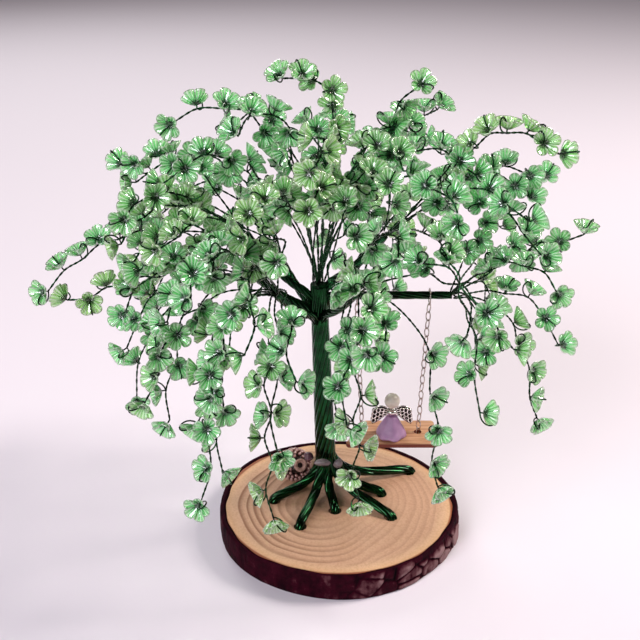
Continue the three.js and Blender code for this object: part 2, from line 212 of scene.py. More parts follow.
def add_node(material, kind, inputs=None, stops=(), **settings):
    """A node with its settings and links. An input is a plain value or another node's output socket, and
    stops are the places and colours along a ramp."""
    node = material.node_tree.nodes.new(kind)
    for setting, value in settings.items():
        setattr(node, setting, value)
    for socket, value in (inputs or {}).items():
        if isinstance(value, bpy.types.NodeSocket):
            material.node_tree.links.new(value, node.inputs[socket])
        else:
            node.inputs[socket].default_value = value
    if stops:
        elements = node.color_ramp.elements
        while len(elements) < len(stops):
            elements.new(0.5)
        for element, (place, colour) in zip(elements, stops):
            element.position = place
            element.color = linear(colour)
    return node


def feed(material, **sockets):
    """Links nodes' outputs to the sockets of a finish's shader."""
    shader = material.node_tree.nodes["Principled BSDF"]
    for socket, output in sockets.items():
        material.node_tree.links.new(output, shader.inputs[socket.replace("_", " ")])


def mottled(material, patch, detail, *stops):
    """Colours a finish by a noise with patches of a real size, and gives the noise for other uses."""
    surface = add_node(material, "ShaderNodeTexCoord").outputs["Object"]
    patches = add_node(
        material, "ShaderNodeTexNoise", {"Vector": surface, "Scale": 1 / patch, "Detail": detail}
    )
    colours = add_node(material, "ShaderNodeValToRGB", {"Fac": patches.outputs["Fac"]}, stops)
    feed(material, Base_Color=colours.outputs["Color"])
    return patches.outputs["Fac"]


print("finish helpers ready")

# %% [markdown]
# ## Enamelled copper wire
# Craft wire is copper under a thin coloured lacquer. The lacquer tints every reflection, so the wire is
# nearly black-green in the shade and a bright leaf green along its highlights. A metal with a dark green
# colour and a fairly low roughness does both. Handling leaves the lacquer a little uneven, which a fine
# noise in the roughness shows.

# %% Green wire finish
green_wire = new_finish("Green_enamelled_copper", Metallic=1.0, Coat_Weight=0.25, Coat_Roughness=0.04)
handling = mottled(green_wire, 4 * MM, 3.0, (0.3, "#021a0a"), (0.7, "#0b4a20"))
gloss = add_node(green_wire, "ShaderNodeMapRange", {"Value": handling, "To Min": 0.1, "To Max": 0.22})
feed(green_wire, Roughness=gloss.outputs["Result"])
print("finish:", green_wire.name)

# %% [markdown]
# ## Clear green acrylic with a hard coat
# The flower beads are injection-moulded acrylic (IOR 1.49) with a thin bright vapour-deposited coat. Light
# passes through the petals. Their colour is painted pale at the ribs and rims as painted highlights, and dark
# in the throat as painted shade. Each bead point carries a colour: red is how far out on the petal it lies,
# green is the bead's own tint, blue is how near it is to the crest of a rib. The rib crests are given less
# transmission, so that their painted highlight shows. The thin hard coat adds reflections that are brighter
# than plain acrylic's.

# %% Bead finish
bead_acrylic = new_finish(
    "Coated_green_acrylic", Roughness=0.04, IOR=1.49, Coat_Weight=1.0, Coat_IOR=1.7, Coat_Roughness=0.07
)
# From the throat to the rim each ramp runs from dark green, as painted shade in the throat, to pale, as a
# painted highlight at the rim
REACHES = (0.3, 0.5, 0.85, 1.0)  # throat, inner petal, outer petal and rim
COOL_GREENS = ("#124e28", "#6cf080", "#9cff9c", "#e4ffdc")
WARM_GREENS = ("#305a20", "#9cee74", "#c4ff98", "#eeffd4")
petal = add_node(bead_acrylic, "ShaderNodeAttribute", attribute_name="petal")
parts = add_node(bead_acrylic, "ShaderNodeSeparateColor", {"Color": petal.outputs["Color"]}).outputs
greens = []
for colours in (COOL_GREENS, WARM_GREENS):
    ramp = add_node(bead_acrylic, "ShaderNodeValToRGB", {"Fac": parts["Red"]}, list(zip(REACHES, colours)))
    greens.append(ramp.outputs["Color"])
tinted = add_node(
    bead_acrylic,
    "ShaderNodeMix",
    {"Factor": parts["Green"], COLOUR_A: greens[0], COLOUR_B: greens[1]},
    data_type="RGBA",
)
# The rib crests are painted pale as painted highlights
rib_painted_highlight = add_node(
    bead_acrylic,
    "ShaderNodeMix",
    {"Factor": parts["Blue"], COLOUR_A: tinted.outputs[BLEND], COLOUR_B: linear("#eeffe8")},
    data_type="RGBA",
)
# Less transmission at the rib crests, so that their painted highlight shows
clearness = add_node(
    bead_acrylic, "ShaderNodeMapRange", {"Value": parts["Blue"], "To Min": 0.68, "To Max": 0.3}
)
feed(bead_acrylic, Base_Color=rib_painted_highlight.outputs[BLEND], Transmission_Weight=clearness.outputs["Result"])
print("finish:", bead_acrylic.name)

# %% [markdown]
# ## The plan of the tree
# The frame was made from these same places: where each limb leaves the trunk and ends, and where each
# branch has its tip, in millimetres. A limb row is the bearing and the height at which it leaves, and the
# place of its end. A branch row is its tip's place, the angle at which it leaves, and the angle at which it
# falls at its tip.

# %% Places of the trunk, limbs and branches
TRUNK_FOOT = np.array([-4.5, 7, 19]) * MM
TRUNK_TOP = np.array([-7.5, 7, 101]) * MM
TRUNK_TOP_RADIUS = 3 * MM
LIMBS = {
    "limb_left_upper": (180, 98, (-33, 5, 121)),
    "limb_left": (182, 92, (-29, 6, 103)),
    "limb_front_left": (235, 90, (-22, -14, 106)),
    "limb_front_right": (295, 91, (5, -16, 107)),
    "limb_right": (0, 96.5, (41, 7, 96.5)),
    "limb_right_upper": (5, 102, (16, 6, 120)),
    "limb_back_right": (55, 91, (12, 30, 108)),
    "limb_back_left": (125, 90, (-25, 30, 108)),
}
# Branches that start at each limb's end, and at the trunk's top
BRANCHES = {
    "limb_left_upper": [
        (-104, -2, 102, 5, 45), (-77, 12, 143, 60, 25), (-70, -25, 137, 30, 35), (-78, 40, 100, 25, 60),
    ],
    "limb_left": [
        (-94, -15, 103, 18, 12), (-76, -6, 80, 5, 80), (-62, -32, 92, 25, 80), (-60, -28, 64, 25, 85),
    ],
    "limb_front_left": [
        (-47, -38, 68, 25, 82), (-46, -50, 44, 25, 75), (-24, -48, 37, 30, 88),
        (-46, -60, 124, 50, 50), (-28, -66, 108, 40, 65),
    ],
    "limb_front_right": [
        (-2, -40, 70, 25, 85), (5, -44, 42, 30, 85), (6, -66, 110, 40, 65), (32, -42, 45, 12, 88),
    ],
    "limb_right": [
        (46, -34, 70, 20, 85), (70, -18, 58, 25, 78), (80, 0, 78, 25, 75),
        (86, 2, 121, 30, -8), (76, 24, 104, 25, 45), (62, 50, 66, 25, 80),
    ],
    "limb_right_upper": [
        (70, -15, 154, 50, 38), (58, -34, 138, 40, 35), (26, 10, 173, 75, -45),
        (74, 16, 137, 40, 25), (38, -58, 110, 25, 65),
    ],
    "limb_back_right": [(46, 58, 112, 40, 55), (12, 75, 112, 40, 60), (25, 78, 68, 30, 80)],
    "limb_back_left": [(-60, 52, 120, 40, 50), (-28, 76, 106, 40, 60), (-50, 68, 72, 30, 80)],
    "crown": [
        (-57, 2, 161, 88, 30), (-20, 2, 175, 86, 10), (-34, -22, 162, 80, 40),
        (-8, -42, 156, 75, 45), (36, 24, 160, 70, 0), (0, 52, 148, 70, 40),
    ],
}
print("plan:", len(LIMBS), "limbs and", sum(map(len, BRANCHES.values())), "branches")

# %% [markdown]
# ## End grain: growth rings
# The plinth is a cross-cut of a young log with its bark on, sanded on top. The top shows growth rings, each
# fading from pale early wood to a thin darker line of late wood, round a pith that lies under the trunk. A
# wave texture over the distance from the pith gives them. A broad noise bends that distance so that no ring
# is a true circle, and a second one makes the rings unevenly wide, as good and bad years do.

# %% Rings
SLICE_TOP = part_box("wood_slice")[1].z
PITH = (-1 * MM, 2 * MM, SLICE_TOP)
RING_WIDTH = 3.1 * MM
RING_SWAY, SWAY_PATCH = 11 * MM, 34 * MM
YEARS_UNEVEN, YEARS_PATCH = 6 * MM, 7 * MM
WAVE_PERIOD = math.pi / 10  # a wave texture at scale 1 repeats at this distance

slice_wood = new_finish("Sanded_end_grain_pine", Roughness=0.6, IOR=1.5)
surface = add_node(slice_wood, "ShaderNodeTexCoord").outputs["Object"]
from_pith = add_node(slice_wood, "ShaderNodeVectorMath", {0: surface, 1: PITH}, operation="SUBTRACT")
sway = add_node(
    slice_wood, "ShaderNodeTexNoise", {"Vector": surface, "Scale": 1 / SWAY_PATCH, "Detail": 1.0}
)
bent = add_node(
    slice_wood,
    "ShaderNodeVectorMath",
    {0: sway.outputs["Color"], 1: (RING_SWAY, RING_SWAY, 0), 2: from_pith.outputs[0]},
    operation="MULTIPLY_ADD",
)
radius = add_node(slice_wood, "ShaderNodeVectorMath", {0: bent.outputs[0]}, operation="LENGTH")
years = add_node(
    slice_wood,
    "ShaderNodeTexNoise",
    {"W": radius.outputs["Value"], "Scale": 1 / YEARS_PATCH, "Detail": 1.0},
    noise_dimensions="1D",
)
spaced = add_node(
    slice_wood,
    "ShaderNodeMath",
    {0: years.outputs["Fac"], 1: YEARS_UNEVEN, 2: radius.outputs["Value"]},
    operation="MULTIPLY_ADD",
)
rings = add_node(
    slice_wood,
    "ShaderNodeTexWave",
    {"Vector": spaced.outputs["Value"], "Scale": WAVE_PERIOD / RING_WIDTH},
    wave_profile="SAW",
)
ringed = add_node(
    slice_wood,
    "ShaderNodeValToRGB",
    {"Fac": rings.outputs["Fac"]},
    [(0.0, "#e8c09e"), (0.35, "#e2b896"), (0.75, "#a97a58"), (0.88, "#a97a58"), (1.0, "#e8c09e")],
)
print("rings about", RING_WIDTH / MM, "mm wide")

# %% [markdown]
# ## End grain: where the rings show
# A young tree that leans lays down darker late wood on one side, so the rings show most strongly on the
# left. They are fainter at the heart and in the pale sapwood by the bark. Three shares, each worked out
# from a place on the slice, are multiplied, and the product blends the ringed wood over plain wood.

# %% Ring strength
WOOD_MIDDLE_Y = -1.4 * MM
WOOD_HALF = (44.2 * MM, 42.9 * MM)
patchy = add_node(
    slice_wood, "ShaderNodeTexNoise", {"Vector": surface, "Scale": 1 / (35 * MM), "Detail": 1.0}
)
plain = add_node(
    slice_wood, "ShaderNodeValToRGB", {"Fac": patchy.outputs["Fac"]}, [(0.35, "#d9b090"), (0.7, "#e4be9e")]
)
across = add_node(slice_wood, "ShaderNodeSeparateXYZ", {"Vector": surface})
out_share = add_node(
    slice_wood,
    "ShaderNodeVectorMath",
    {0: surface, 1: (1 / WOOD_HALF[0], 1 / WOOD_HALF[1], 0), 2: (0, -WOOD_MIDDLE_Y / WOOD_HALF[1], 0)},
    operation="MULTIPLY_ADD",
)
reach = add_node(slice_wood, "ShaderNodeVectorMath", {0: out_share.outputs[0]}, operation="LENGTH")
# What each share follows, the two values that it runs between, and the share at each
RING_SHARES = [
    (across.outputs["X"], 8 * MM, -30 * MM, 0.25, 1.0),
    (reach.outputs["Value"], 0.93, 0.88, 0.1, 1.0),
    (reach.outputs["Value"], 0.3, 0.65, 0.35, 1.0),
]
shares = []
for follows, start, end, low, high in RING_SHARES:
    share = add_node(
        slice_wood,
        "ShaderNodeMapRange",
        {"Value": follows, "From Min": start, "From Max": end, "To Min": low, "To Max": high},
    )
    shares.append(share.outputs["Result"])
banded = add_node(slice_wood, "ShaderNodeMath", {0: shares[1], 1: shares[2]}, operation="MULTIPLY")
shown = add_node(
    slice_wood, "ShaderNodeMath", {0: shares[0], 1: banded.outputs["Value"]}, operation="MULTIPLY"
)
figured = add_node(
    slice_wood,
    "ShaderNodeMix",
    {"Factor": shown.outputs["Value"], COLOUR_A: plain.outputs["Color"], COLOUR_B: ringed.outputs["Color"]},
    data_type="RGBA",
)
print("ring strength from", len(RING_SHARES), "shares")

# %% [markdown]
# ## End grain: sapwood and pores
# Just inside the bark the sapwood is paler, and the cut edge against the bark is stained brown. Sanding
# leaves open pores, which show as a fine speckle. Real pores are too fine to show in the picture, so the
# speckle is drawn at 0.7 mm. Late wood is harder than early wood and stands a little proud after sanding.

# %% Rim, pores and bump
SAPWOOD = [(0.88, "#e8e0dc"), (0.94, "#f8f4ea"), (0.985, "#fbf4e0"), (1.0, "#b07a5e")]
rim = add_node(slice_wood, "ShaderNodeValToRGB", {"Fac": reach.outputs["Value"]}, SAPWOOD)
pores = add_node(
    slice_wood, "ShaderNodeTexNoise", {"Vector": surface, "Scale": 1 / (0.7 * MM), "Detail": 2.0}
)
speckle = add_node(
    slice_wood, "ShaderNodeValToRGB", {"Fac": pores.outputs["Fac"]}, [(0.3, "#e6dccf"), (0.6, "#ffffff")]
)
wood_colour = figured.outputs[BLEND]
for strength, layer in ((1.0, rim), (0.6, speckle)):
    wood_colour = add_node(
        slice_wood,
        "ShaderNodeMix",
        {"Factor": strength, COLOUR_A: wood_colour, COLOUR_B: layer.outputs["Color"]},
        data_type="RGBA",
        blend_type="MULTIPLY",
    ).outputs[BLEND]
wood_bump = add_node(
    slice_wood, "ShaderNodeBump", {"Height": rings.outputs["Fac"], "Strength": 0.12, "Distance": 0.2 * MM}
)
feed(slice_wood, Base_Color=wood_colour, Normal=wood_bump.outputs["Normal"])
print("finish:", slice_wood.name)

# %% [markdown]
# ## Bark
# Pine bark is dark red-brown and nearly smooth where it was rubbed, and breaks into raised grey-pink flakes
# elsewhere. It is rough and hardly reflects. Each point of the bark keeps its height as a colour, and a ramp
# over that height, made uneven by a noise, gives near-black cracks, dark bark and pale flakes. The near black
# of the cracks is dark inner bark with painted shade, and the low heights at the foot make a painted shadow
# line.

# %% Bark finish
bark = new_finish("Pine_bark", Roughness=0.7, Specular_IOR_Level=0.05)
surface = add_node(bark, "ShaderNodeTexCoord").outputs["Object"]
height = add_node(bark, "ShaderNodeAttribute", attribute_name="relief")
stain = add_node(bark, "ShaderNodeTexNoise", {"Vector": surface, "Scale": 1 / (3 * MM), "Detail": 4.0})
raised = add_node(
    bark,
    "ShaderNodeMath",
    {0: stain.outputs["Fac"], 1: 0.5, 2: height.outputs["Fac"]},
    operation="MULTIPLY_ADD",
)
# The lowest heights paint near black: dark inner bark with painted shade in the cracks, and a painted shadow
# line at the foot
flakes = add_node(
    bark,
    "ShaderNodeValToRGB",
    {"Fac": raised.outputs["Value"]},
    [(0.3, "#080003"), (0.48, "#1e0009"), (0.68, "#320313"), (0.82, "#603c40"), (0.98, "#8e7070")],
)
crumbs = add_node(bark, "ShaderNodeTexNoise", {"Vector": surface, "Scale": 1 / (0.8 * MM), "Detail": 3.0})
bark_bump = add_node(
    bark, "ShaderNodeBump", {"Height": crumbs.outputs["Fac"], "Strength": 0.5, "Distance": 0.4 * MM}
)
feed(bark, Base_Color=flakes.outputs["Color"], Normal=bark_bump.outputs["Normal"])
print("finish:", bark.name)

# %% [markdown]
# ## The slice's outline and the bark's relief
# A log is never quite round, so the outline is an ellipse with two slow waves in it. The flakes change that
# outline, so they are real relief and not only a bump in the finish: cells with cracks between them, pushed
# out where the bark is flaky, which is at the front right.

# %% Outline and relief
SLICE = {"half_width": 47.4 * MM, "half_depth": 45.6 * MM, "bark": 2.7 * MM}
SLICE_ANGLES = turns_round(720)
OUTLINE_WAVES = [(3, 0.006, 0.5), (5, 0.008, 2)]  # waves round the edge, their size as a share, their turn
BARK_WAVES = [(4, 0.3, 1), (9, 0.25, 0), (23, 0.15, 0)]  # the same for the bark's inside, their size in mm
FLAKE, CRACK = 7.5 * MM, 0.12  # a flake's size, and the share of it that slopes into a crack
FLAKY_BEARING, FLAKY_SPREAD = -32, 48  # degrees
FLAKY_PATCH = 16 * MM
GROOVE = 4 * MM


def slice_loop(inset, height):
    """One closed loop of the slice's edge; inset and height may vary round it."""
    swell = 1 + sum(size * np.sin(waves * SLICE_ANGLES + turn) for waves, size, turn in OUTLINE_WAVES)
    x = (SLICE["half_width"] * swell - inset) * np.cos(SLICE_ANGLES)
    y = (SLICE["half_depth"] * swell - inset) * np.sin(SLICE_ANGLES)
    return np.stack([x, y, np.broadcast_to(height, x.shape)], axis=1)


def flakiness(point, patch):
    """How flaky the bark is at a point, 0 to 1: round the flaky bearing, and not at the top edge."""
    bearing = math.degrees(math.atan2(point[1], point[0])) - FLAKY_BEARING
    flaky = min(max(1.15 - abs((bearing + 180) % 360 - 180) / FLAKY_SPREAD + 0.35 * patch, 0), 1)
    return flaky * min(max((0.9 - point[2] / SLICE_TOP + 0.25 * patch) / 0.2, 0), 1)


def bark_relief(point):
    """Height of the bark at a point of its wall, 0 in a crack to 1 on a flake, and how flaky it is there."""
    cell = Vector(point) / FLAKE
    cell.z *= 1.2
    near, middles = noise.voronoi(cell)
    crack = min((near[1] - near[0]) / CRACK, 1) * (0.8 + 0.5 * noise.noise(middles[0] * 1.7))
    flaky = flakiness(point, noise.noise(Vector(point) / FLAKY_PATCH))
    ridge = noise.fractal(Vector((point[0], point[1], point[2] * 0.3)) / GROOVE, 0.8, 2.0, 3)
    return 0.32 + 0.19 * ridge + flaky * (0.8 * crack - 0.3), flaky


# The bark is thinnest at the front
WOOD_INSET = SLICE["bark"] + MM * (1.4 * np.sin(SLICE_ANGLES) + 0.5 * np.cos(SLICE_ANGLES) ** 2)
for waves, size, turn in BARK_WAVES:
    WOOD_INSET += size * MM * np.sin(waves * SLICE_ANGLES + turn)
print("bark", round(WOOD_INSET.min() / MM, 1), "to", round(WOOD_INSET.max() / MM, 1), "mm thick")

# %% [markdown]
# ## Slice of log
# The slice is two pieces that touch, as on the real one: a ring of bark, and the wood inside it with a hole
# for each root. The ring is built from loops from the foot up. The holes are cut with a boolean, which
# leaves clean round edges.

# %% Bark and wood
WALL_INSET, RELIEF_PUSH, FLAKE_PUSH = 0.55 * MM, 0.9 * MM, 1.1 * MM
MEAN_RELIEF = 0.3
BELLY = 0.5 * MM  # how far the wall draws in at its top and foot
# At the foot the low heights paint a dark line as a painted shadow; at the top they give the sawn bark's dark
# colour
FOOT_PAINTED_SHADOW_TONES, EDGE_TONES = (0.1, 0.15), (0.3, 0.16)  # heights for the finish where the bark was sawn
bark_rows = [slice_loop(WOOD_INSET, 0), slice_loop(1.2 * MM, 0)]
bark_heights = [np.full(len(SLICE_ANGLES), tone) for tone in FOOT_PAINTED_SHADOW_TONES]
for height in np.linspace(0.05, 0.94, 25) * SLICE_TOP:
    wall = slice_loop(0, height)
    relief, flaky = np.array([bark_relief(point) for point in wall]).T
    inset = WALL_INSET - (RELIEF_PUSH + FLAKE_PUSH * flaky) * (relief - MEAN_RELIEF)
    belly = BELLY * (2 * height / SLICE_TOP - 1) ** 4
    bark_rows.append(slice_loop(inset + belly, height))
    bark_heights.append(relief)
bark_rows.append(slice_loop(0.35 * WOOD_INSET + 0.5 * MM, 0.99 * SLICE_TOP))
bark_rows.append(slice_loop(WOOD_INSET - 0.15 * MM, 0.997 * SLICE_TOP))
bark_heights += [np.full(len(SLICE_ANGLES), tone) for tone in EDGE_TONES]
bark_band = piece("slice_bark", lofted(bark_rows, ring=True), bark, ["wood_slice"])
paint(bark_band, "relief", np.concatenate(bark_heights))

wood_rows = [slice_loop(WOOD_INSET, 0), slice_loop(WOOD_INSET, SLICE_TOP)]
wood = piece("slice_heartwood", lofted(wood_rows), slice_wood, ["wood_slice"], smooth=False)

ROOT_HOLES = MM * np.array(
    [(-14.5, -17.2), (-1.2, -7.2), (-25, -0.6), (20, -11.4), (17, 3.9), (29.5, 19.5), (-6, 31.5)]
)
HOLE_RADIUS, HOLE_DEPTH = 2.5 * MM, 6 * MM


def drilled(target, places, radius, bottom, top):
    """Cuts round holes in a piece, from bottom to top."""
    points, faces = joined([tube(np.array([[x, y, bottom], [x, y, top]]), radius, 24) for x, y in places])
    mesh = bpy.data.meshes.new("drills")
    mesh.from_pydata(points.tolist(), [], faces)
    cutter = bpy.data.objects.new("drills", mesh)
    bpy.context.scene.collection.objects.link(cutter)
    cut = target.modifiers.new("holes", "BOOLEAN")
    cut.object = cutter
    cut.operation = "DIFFERENCE"
    cut.solver = "EXACT"
    evaluated = target.evaluated_get(bpy.context.evaluated_depsgraph_get())
    target.data = bpy.data.meshes.new_from_object(evaluated)
    target.modifiers.clear()
    bpy.data.objects.remove(cutter)


drilled(wood, ROOT_HOLES, HOLE_RADIUS, SLICE_TOP - HOLE_DEPTH, SLICE_TOP + MM)
print("slice:", len(bark_band.data.polygons), "bark faces and", len(wood.data.polygons), "wood faces")

# %% [markdown]
# ## Trunk and roots as twisted bundles
# The real trunk is all the branch wires twisted together, and the roots are their other ends, twisted in
# smaller bundles and pushed into holes in the wood. Strands that wind about a middle line give that look
# with real grooves between the wires, which a bumped cylinder would lose at its outline.

# %% Trunk and roots
# Strands, the radius of each wire, how far its middle lies from the bundle's at both ends, turns
TRUNK_BUNDLE = (12, 0.95 * MM, (3.2 * MM, 2.15 * MM), 1.1)
TRUNK_CORE = (2.9 * MM, 1.9 * MM)
TRUNK_STEPS = 60
ROOT_BUNDLE = (5, 0.85 * MM, (1.15 * MM, 1.05 * MM), 1.4)
ROOT_START = 33 * MM
ROOT_CORNERS = ((0.12, 24.5), (0.26, 19.6), (0.5, 16))  # share of the way to its hole, height in mm
ROOT_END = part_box("trunk_and_roots")[0].z


def bundle(path, count, wire_radius, spread, turns, sides=8):
    """Strands wound about a path; spread is the distance of their middles from it, start and end."""
    _, normals, binormals = frames_along(path)
    share = np.linspace(0, 1, len(path))[:, None]
    reach = np.linspace(*spread, len(path))[:, None]
    shapes = []
    for strand in range(count):
        angle = 2 * math.pi * (strand / count + turns * share)
        winding = path + reach * (np.cos(angle) * normals + np.sin(angle) * binormals)
        shapes.append(tube(winding, wire_radius, sides))
    return shapes


def trunk_at(height):
    share = (height - TRUNK_FOOT[2]) / (TRUNK_TOP[2] - TRUNK_FOOT[2])
    return TRUNK_FOOT + (TRUNK_TOP - TRUNK_FOOT) * share


def root_path(hole):
    """Out of the trunk, down along the wood and into its hole."""
    start = trunk_at(ROOT_START)
    corners = [start]
    for share, height in ROOT_CORNERS:
        corners.append([*(start[:2] + share * (hole - start[:2])), height * MM])
    corners += [[*hole, SLICE_TOP + 0.9 * MM], [*hole, ROOT_END]]
    return smooth_line(corners, 10)


trunk_path = np.linspace(TRUNK_FOOT, TRUNK_TOP, TRUNK_STEPS)
trunk_shapes = bundle(trunk_path, *TRUNK_BUNDLE)
trunk_shapes.append(tube(trunk_path, np.linspace(*TRUNK_CORE, TRUNK_STEPS), 10))
for hole in ROOT_HOLES:
    trunk_shapes += bundle(root_path(hole), *ROOT_BUNDLE)
trunk = piece("trunk_and_root_wires", joined(trunk_shapes), green_wire, ["trunk_and_roots"])
print("trunk and roots:", len(trunk.data.polygons), "faces")

# %% [markdown]
# ## Limbs
# At the trunk's top the wires part into eight limbs, twisted like the trunk but thinner. Each limb starts
# inside the trunk, so that its wires seem to come out of the bundle, sags a little and rises to its end.
# The ends are kept, because every branch starts at one.

# %% Limbs
LIMB_BUNDLE = (6, 0.62 * MM, (1.05 * MM, 0.85 * MM), 1.3)
LIMB_CORE = 0.9 * MM
LIMB_RADIUS = 1.7 * MM
LIMB_END_RADIUS = 1.45 * MM
LIMB_SAG = 0.2
LIMB_ROOT = 6 * MM  # how far below its start a limb's wires leave the trunk's middle
GAP = 0.3 * MM


def limb_path(side, height, end):
    out = np.array([math.cos(math.radians(side)), math.sin(math.radians(side)), 0])
    end = np.array(end) * MM
    start = trunk_at(min(height * MM, TRUNK_TOP[2]))
    start[2] = height * MM
    slope = (end[2] - start[2]) / np.linalg.norm(end - start)
    start = start + out * (TRUNK_TOP_RADIUS * 1.2 + LIMB_RADIUS * slope + GAP)
    bend = (start + end) / 2 - np.array([0, 0, LIMB_SAG * (end[2] - start[2])])
    return bezier([start, bend, end], 24)


# Each end's place and direction, and the radius of the ring in which its branches start
limb_ends = {"crown": (TRUNK_TOP, np.array([0, 0, 1.0]), TRUNK_TOP_RADIUS * 0.7)}
for name, plan in LIMBS.items():
    path = limb_path(*plan)
    limb_ends[name] = (path[-1], unit(path[-1] - path[-2]), LIMB_END_RADIUS * 0.85)
    rooted = np.vstack([trunk_at(path[0][2] - LIMB_ROOT), path])
    shapes = bundle(rooted, *LIMB_BUNDLE)
    shapes.append(tube(rooted, LIMB_CORE))
    piece(name + "_wires", joined(shapes), green_wire, [name])
print("limbs:", len(LIMBS))

# %% [markdown]
# ## One flower bead
# The moulded flower is a cup of five round petals about 10 mm across. Fine ribs run out over each petal and
# fade at the rim. The cup is worked out as rows of points from the back of the throat out to the rim and
# back down the inside, so that it is one closed solid with a real thickness for light to bend in.

# %% Bead shape
BEAD = {"radius": 4.9 * MM, "depth": 4.0 * MM, "wall": 0.75 * MM, "petals": 5, "ribs": 20, "sides": 60}
NOTCH = 0.58  # how far out the notch between two petals lies, as a share of the radius
# Rows of the cup: how far out they lie, and how high their ribs are in mm
BEAD_OUTSIDE = [(0.08, 0), (0.35, -0.1), (0.7, -0.12), (0.97, 0)]
BEAD_INSIDE = [(1.0, 0), (0.88, 0.14), (0.58, 0.22), (0.3, 0.15), (0.14, 0)]
RIM_LIFT = 0.35  # how high the rim lies in the wall


def bead_shape():
    """Points and faces of one bead, with how far out each point lies and how near to a rib's crest."""
    angles = turns_round(BEAD["sides"])
    swell = np.abs(np.cos(BEAD["petals"] * angles / 2)) ** 0.5
    rib = np.cos(BEAD["ribs"] * angles)
    rim = BEAD["radius"] * (NOTCH + (1 - NOTCH) * swell)
    lifts = [0] * len(BEAD_OUTSIDE) + [RIM_LIFT] + [1] * (len(BEAD_INSIDE) - 1)
    rows, reaches, crests = [], [], []
    for (reach, ribbing), lift in zip(BEAD_OUTSIDE + BEAD_INSIDE, lifts):
        # The cup steepens outwards, and the notches between petals stand a little higher
        height = BEAD["depth"] * (0.06 + 0.9 * reach**1.5) * (1.05 - 0.15 * swell) + BEAD["wall"] * lift
        height = height + ribbing * rib * reach * MM
        rows.append(np.stack([rim * reach * np.cos(angles), rim * reach * np.sin(angles), height], axis=1))
        reaches.extend([reach] * len(angles))
        # How strongly each point takes the painted highlight of a rib crest: fully on the outer petal, a
        # little elsewhere
        crests.extend(np.clip(rib, 0, 1) * (0.9 if 0.5 < reach < 1 else 0.1))
    points, faces = lofted(rows)
    return points, faces, np.array(reaches), np.array(crests)


bead_points, bead_faces, bead_reach, bead_crest = bead_shape()
print("one bead:", len(bead_faces), "faces")

# %% [markdown]
# ## Paths of the branches
# A branch leaves its limb at one angle, arches over and falls to its tip at another, which a curve with two
# handles draws. The branches of one limb start in a ring on its end, in the order of their directions, so
# that their wires don't cross at once.

# %% Branch paths
BRANCH_PULL = 0.5  # length of a curve's handles, as a share of the branch's reach


def branch_path(start, row):
    tip = np.array(row[:3]) * MM
    rise, fall = np.radians(row[3:])
    level = unit((tip - start) * (1, 1, 0))
    pull = BRANCH_PULL * np.linalg.norm(tip - start)
    leave = level * math.cos(rise) + np.array([0, 0, math.sin(rise)])
    arrive = level * math.cos(fall) - np.array([0, 0, math.sin(fall)])
    return bezier([start, start + pull * leave, tip - pull * arrive, tip], 40)


def spray_starts(end, direction, ring_radius, rows):
    """Branches of one limb in the order of their directions, with their starts in a ring on its end."""
    helper = (1, 0, 0) if abs(direction[2]) > 0.99 else (0, 0, 1)
    across = unit(np.cross(helper, direction))
    upright = np.cross(direction, across)
    order = []
    for row in rows:
        way = np.array(row[:3]) * MM - end
        order.append((math.atan2(way @ upright, way @ across), row))
    order.sort(key=lambda pair: pair[0])
    step = 2 * math.pi / len(rows)
    offsets = np.array([angle - step * i for i, (angle, _) in enumerate(order)])
    first = math.atan2(np.sin(offsets).sum(), np.cos(offsets).sum())
    base = end + direction * (GAP + 0.4 * MM)
    turns = [first + step * i for i in range(len(rows))]
    return [
        (base + ring_radius * (math.cos(turn) * across + math.sin(turn) * upright), row)
        for turn, (_, row) in zip(turns, order)
    ]


print("branch paths ready")

# %% [markdown]
# ## Beads along a branch
# The outer two thirds of a branch are threaded with beads, closer together in the crown than on the hanging
# ends, and the stem kinks a little at each. Hand work is uneven, so a repeatable sine of the bead's and
# branch's numbers varies the spacing and the way that a bead faces. The crown is thin in front of the
# trunk's top and of the level limbs, so beads other than a branch's last are left out of those openings.

# %% Places of the beads
BEAD_SPACING = {"crown": 7.4 * MM, "hanging": 11.5 * MM}
HANGING_BELOW = 85 * MM
BEADED_SHARE = 0.64
TIP_BEAD = 0.985
SPACING_UNEVEN = 0.2
KINK = 1.2 * MM
FACING = {"out": 0.8, "up": 0.8, "splay": 0.5, "uneven": 0.9, "nod": 0.3, "tip_nod": 0.5}
FORWARD = ((70 * MM, 125 * MM), (0.7, 0.2))  # the hanging beads face the front more than the high ones
# Two ends and a radius each, mm
OPENINGS = [
    ((-7, 7, 118), (-7, -42, 136), 12),
    ((-22, 7, 100), (-21, -45, 119), 9),
    ((29, 7, 96), (27, -45, 116), 7),
    ((40, 7, 97), (38, -45, 117), 10),
]


def vary(first, second):
    """A repeatable uneven value from -1 to 1."""
    return math.sin(91.7 * first + 37.3 * second + 0.5)


def within(place, capsule):
    """Whether a place lies in a capsule, given as its two ends and its radius in mm."""
    start, end, radius = (np.array(value) * MM for value in capsule)
    share = np.clip((place - start) @ (end - start) / ((end - start) @ (end - start)), 0, 1)
    return np.linalg.norm(place - start - share * (end - start)) < radius


def at_distance(rows, along, distance):
    return np.array([np.interp(distance, along, rows[:, i]) for i in range(3)])


def bead_distances(path, along, index):
    """Distances of the beads along a branch, from the first to the tip."""
    distances = [TIP_BEAD * along[-1]]
    while distances[-1] > (1 - BEADED_SHARE) * along[-1]:
        hanging = at_distance(path, along, distances[-1])[2] < HANGING_BELOW
        spacing = BEAD_SPACING["hanging" if hanging else "crown"]
        distances.append(distances[-1] - spacing * (1 + SPACING_UNEVEN * vary(index, len(distances))))
    return distances[-2::-1]


def rotated(vector, axis, angle):
    return np.array(Matrix.Rotation(angle, 3, Vector(axis)) @ Vector(vector))


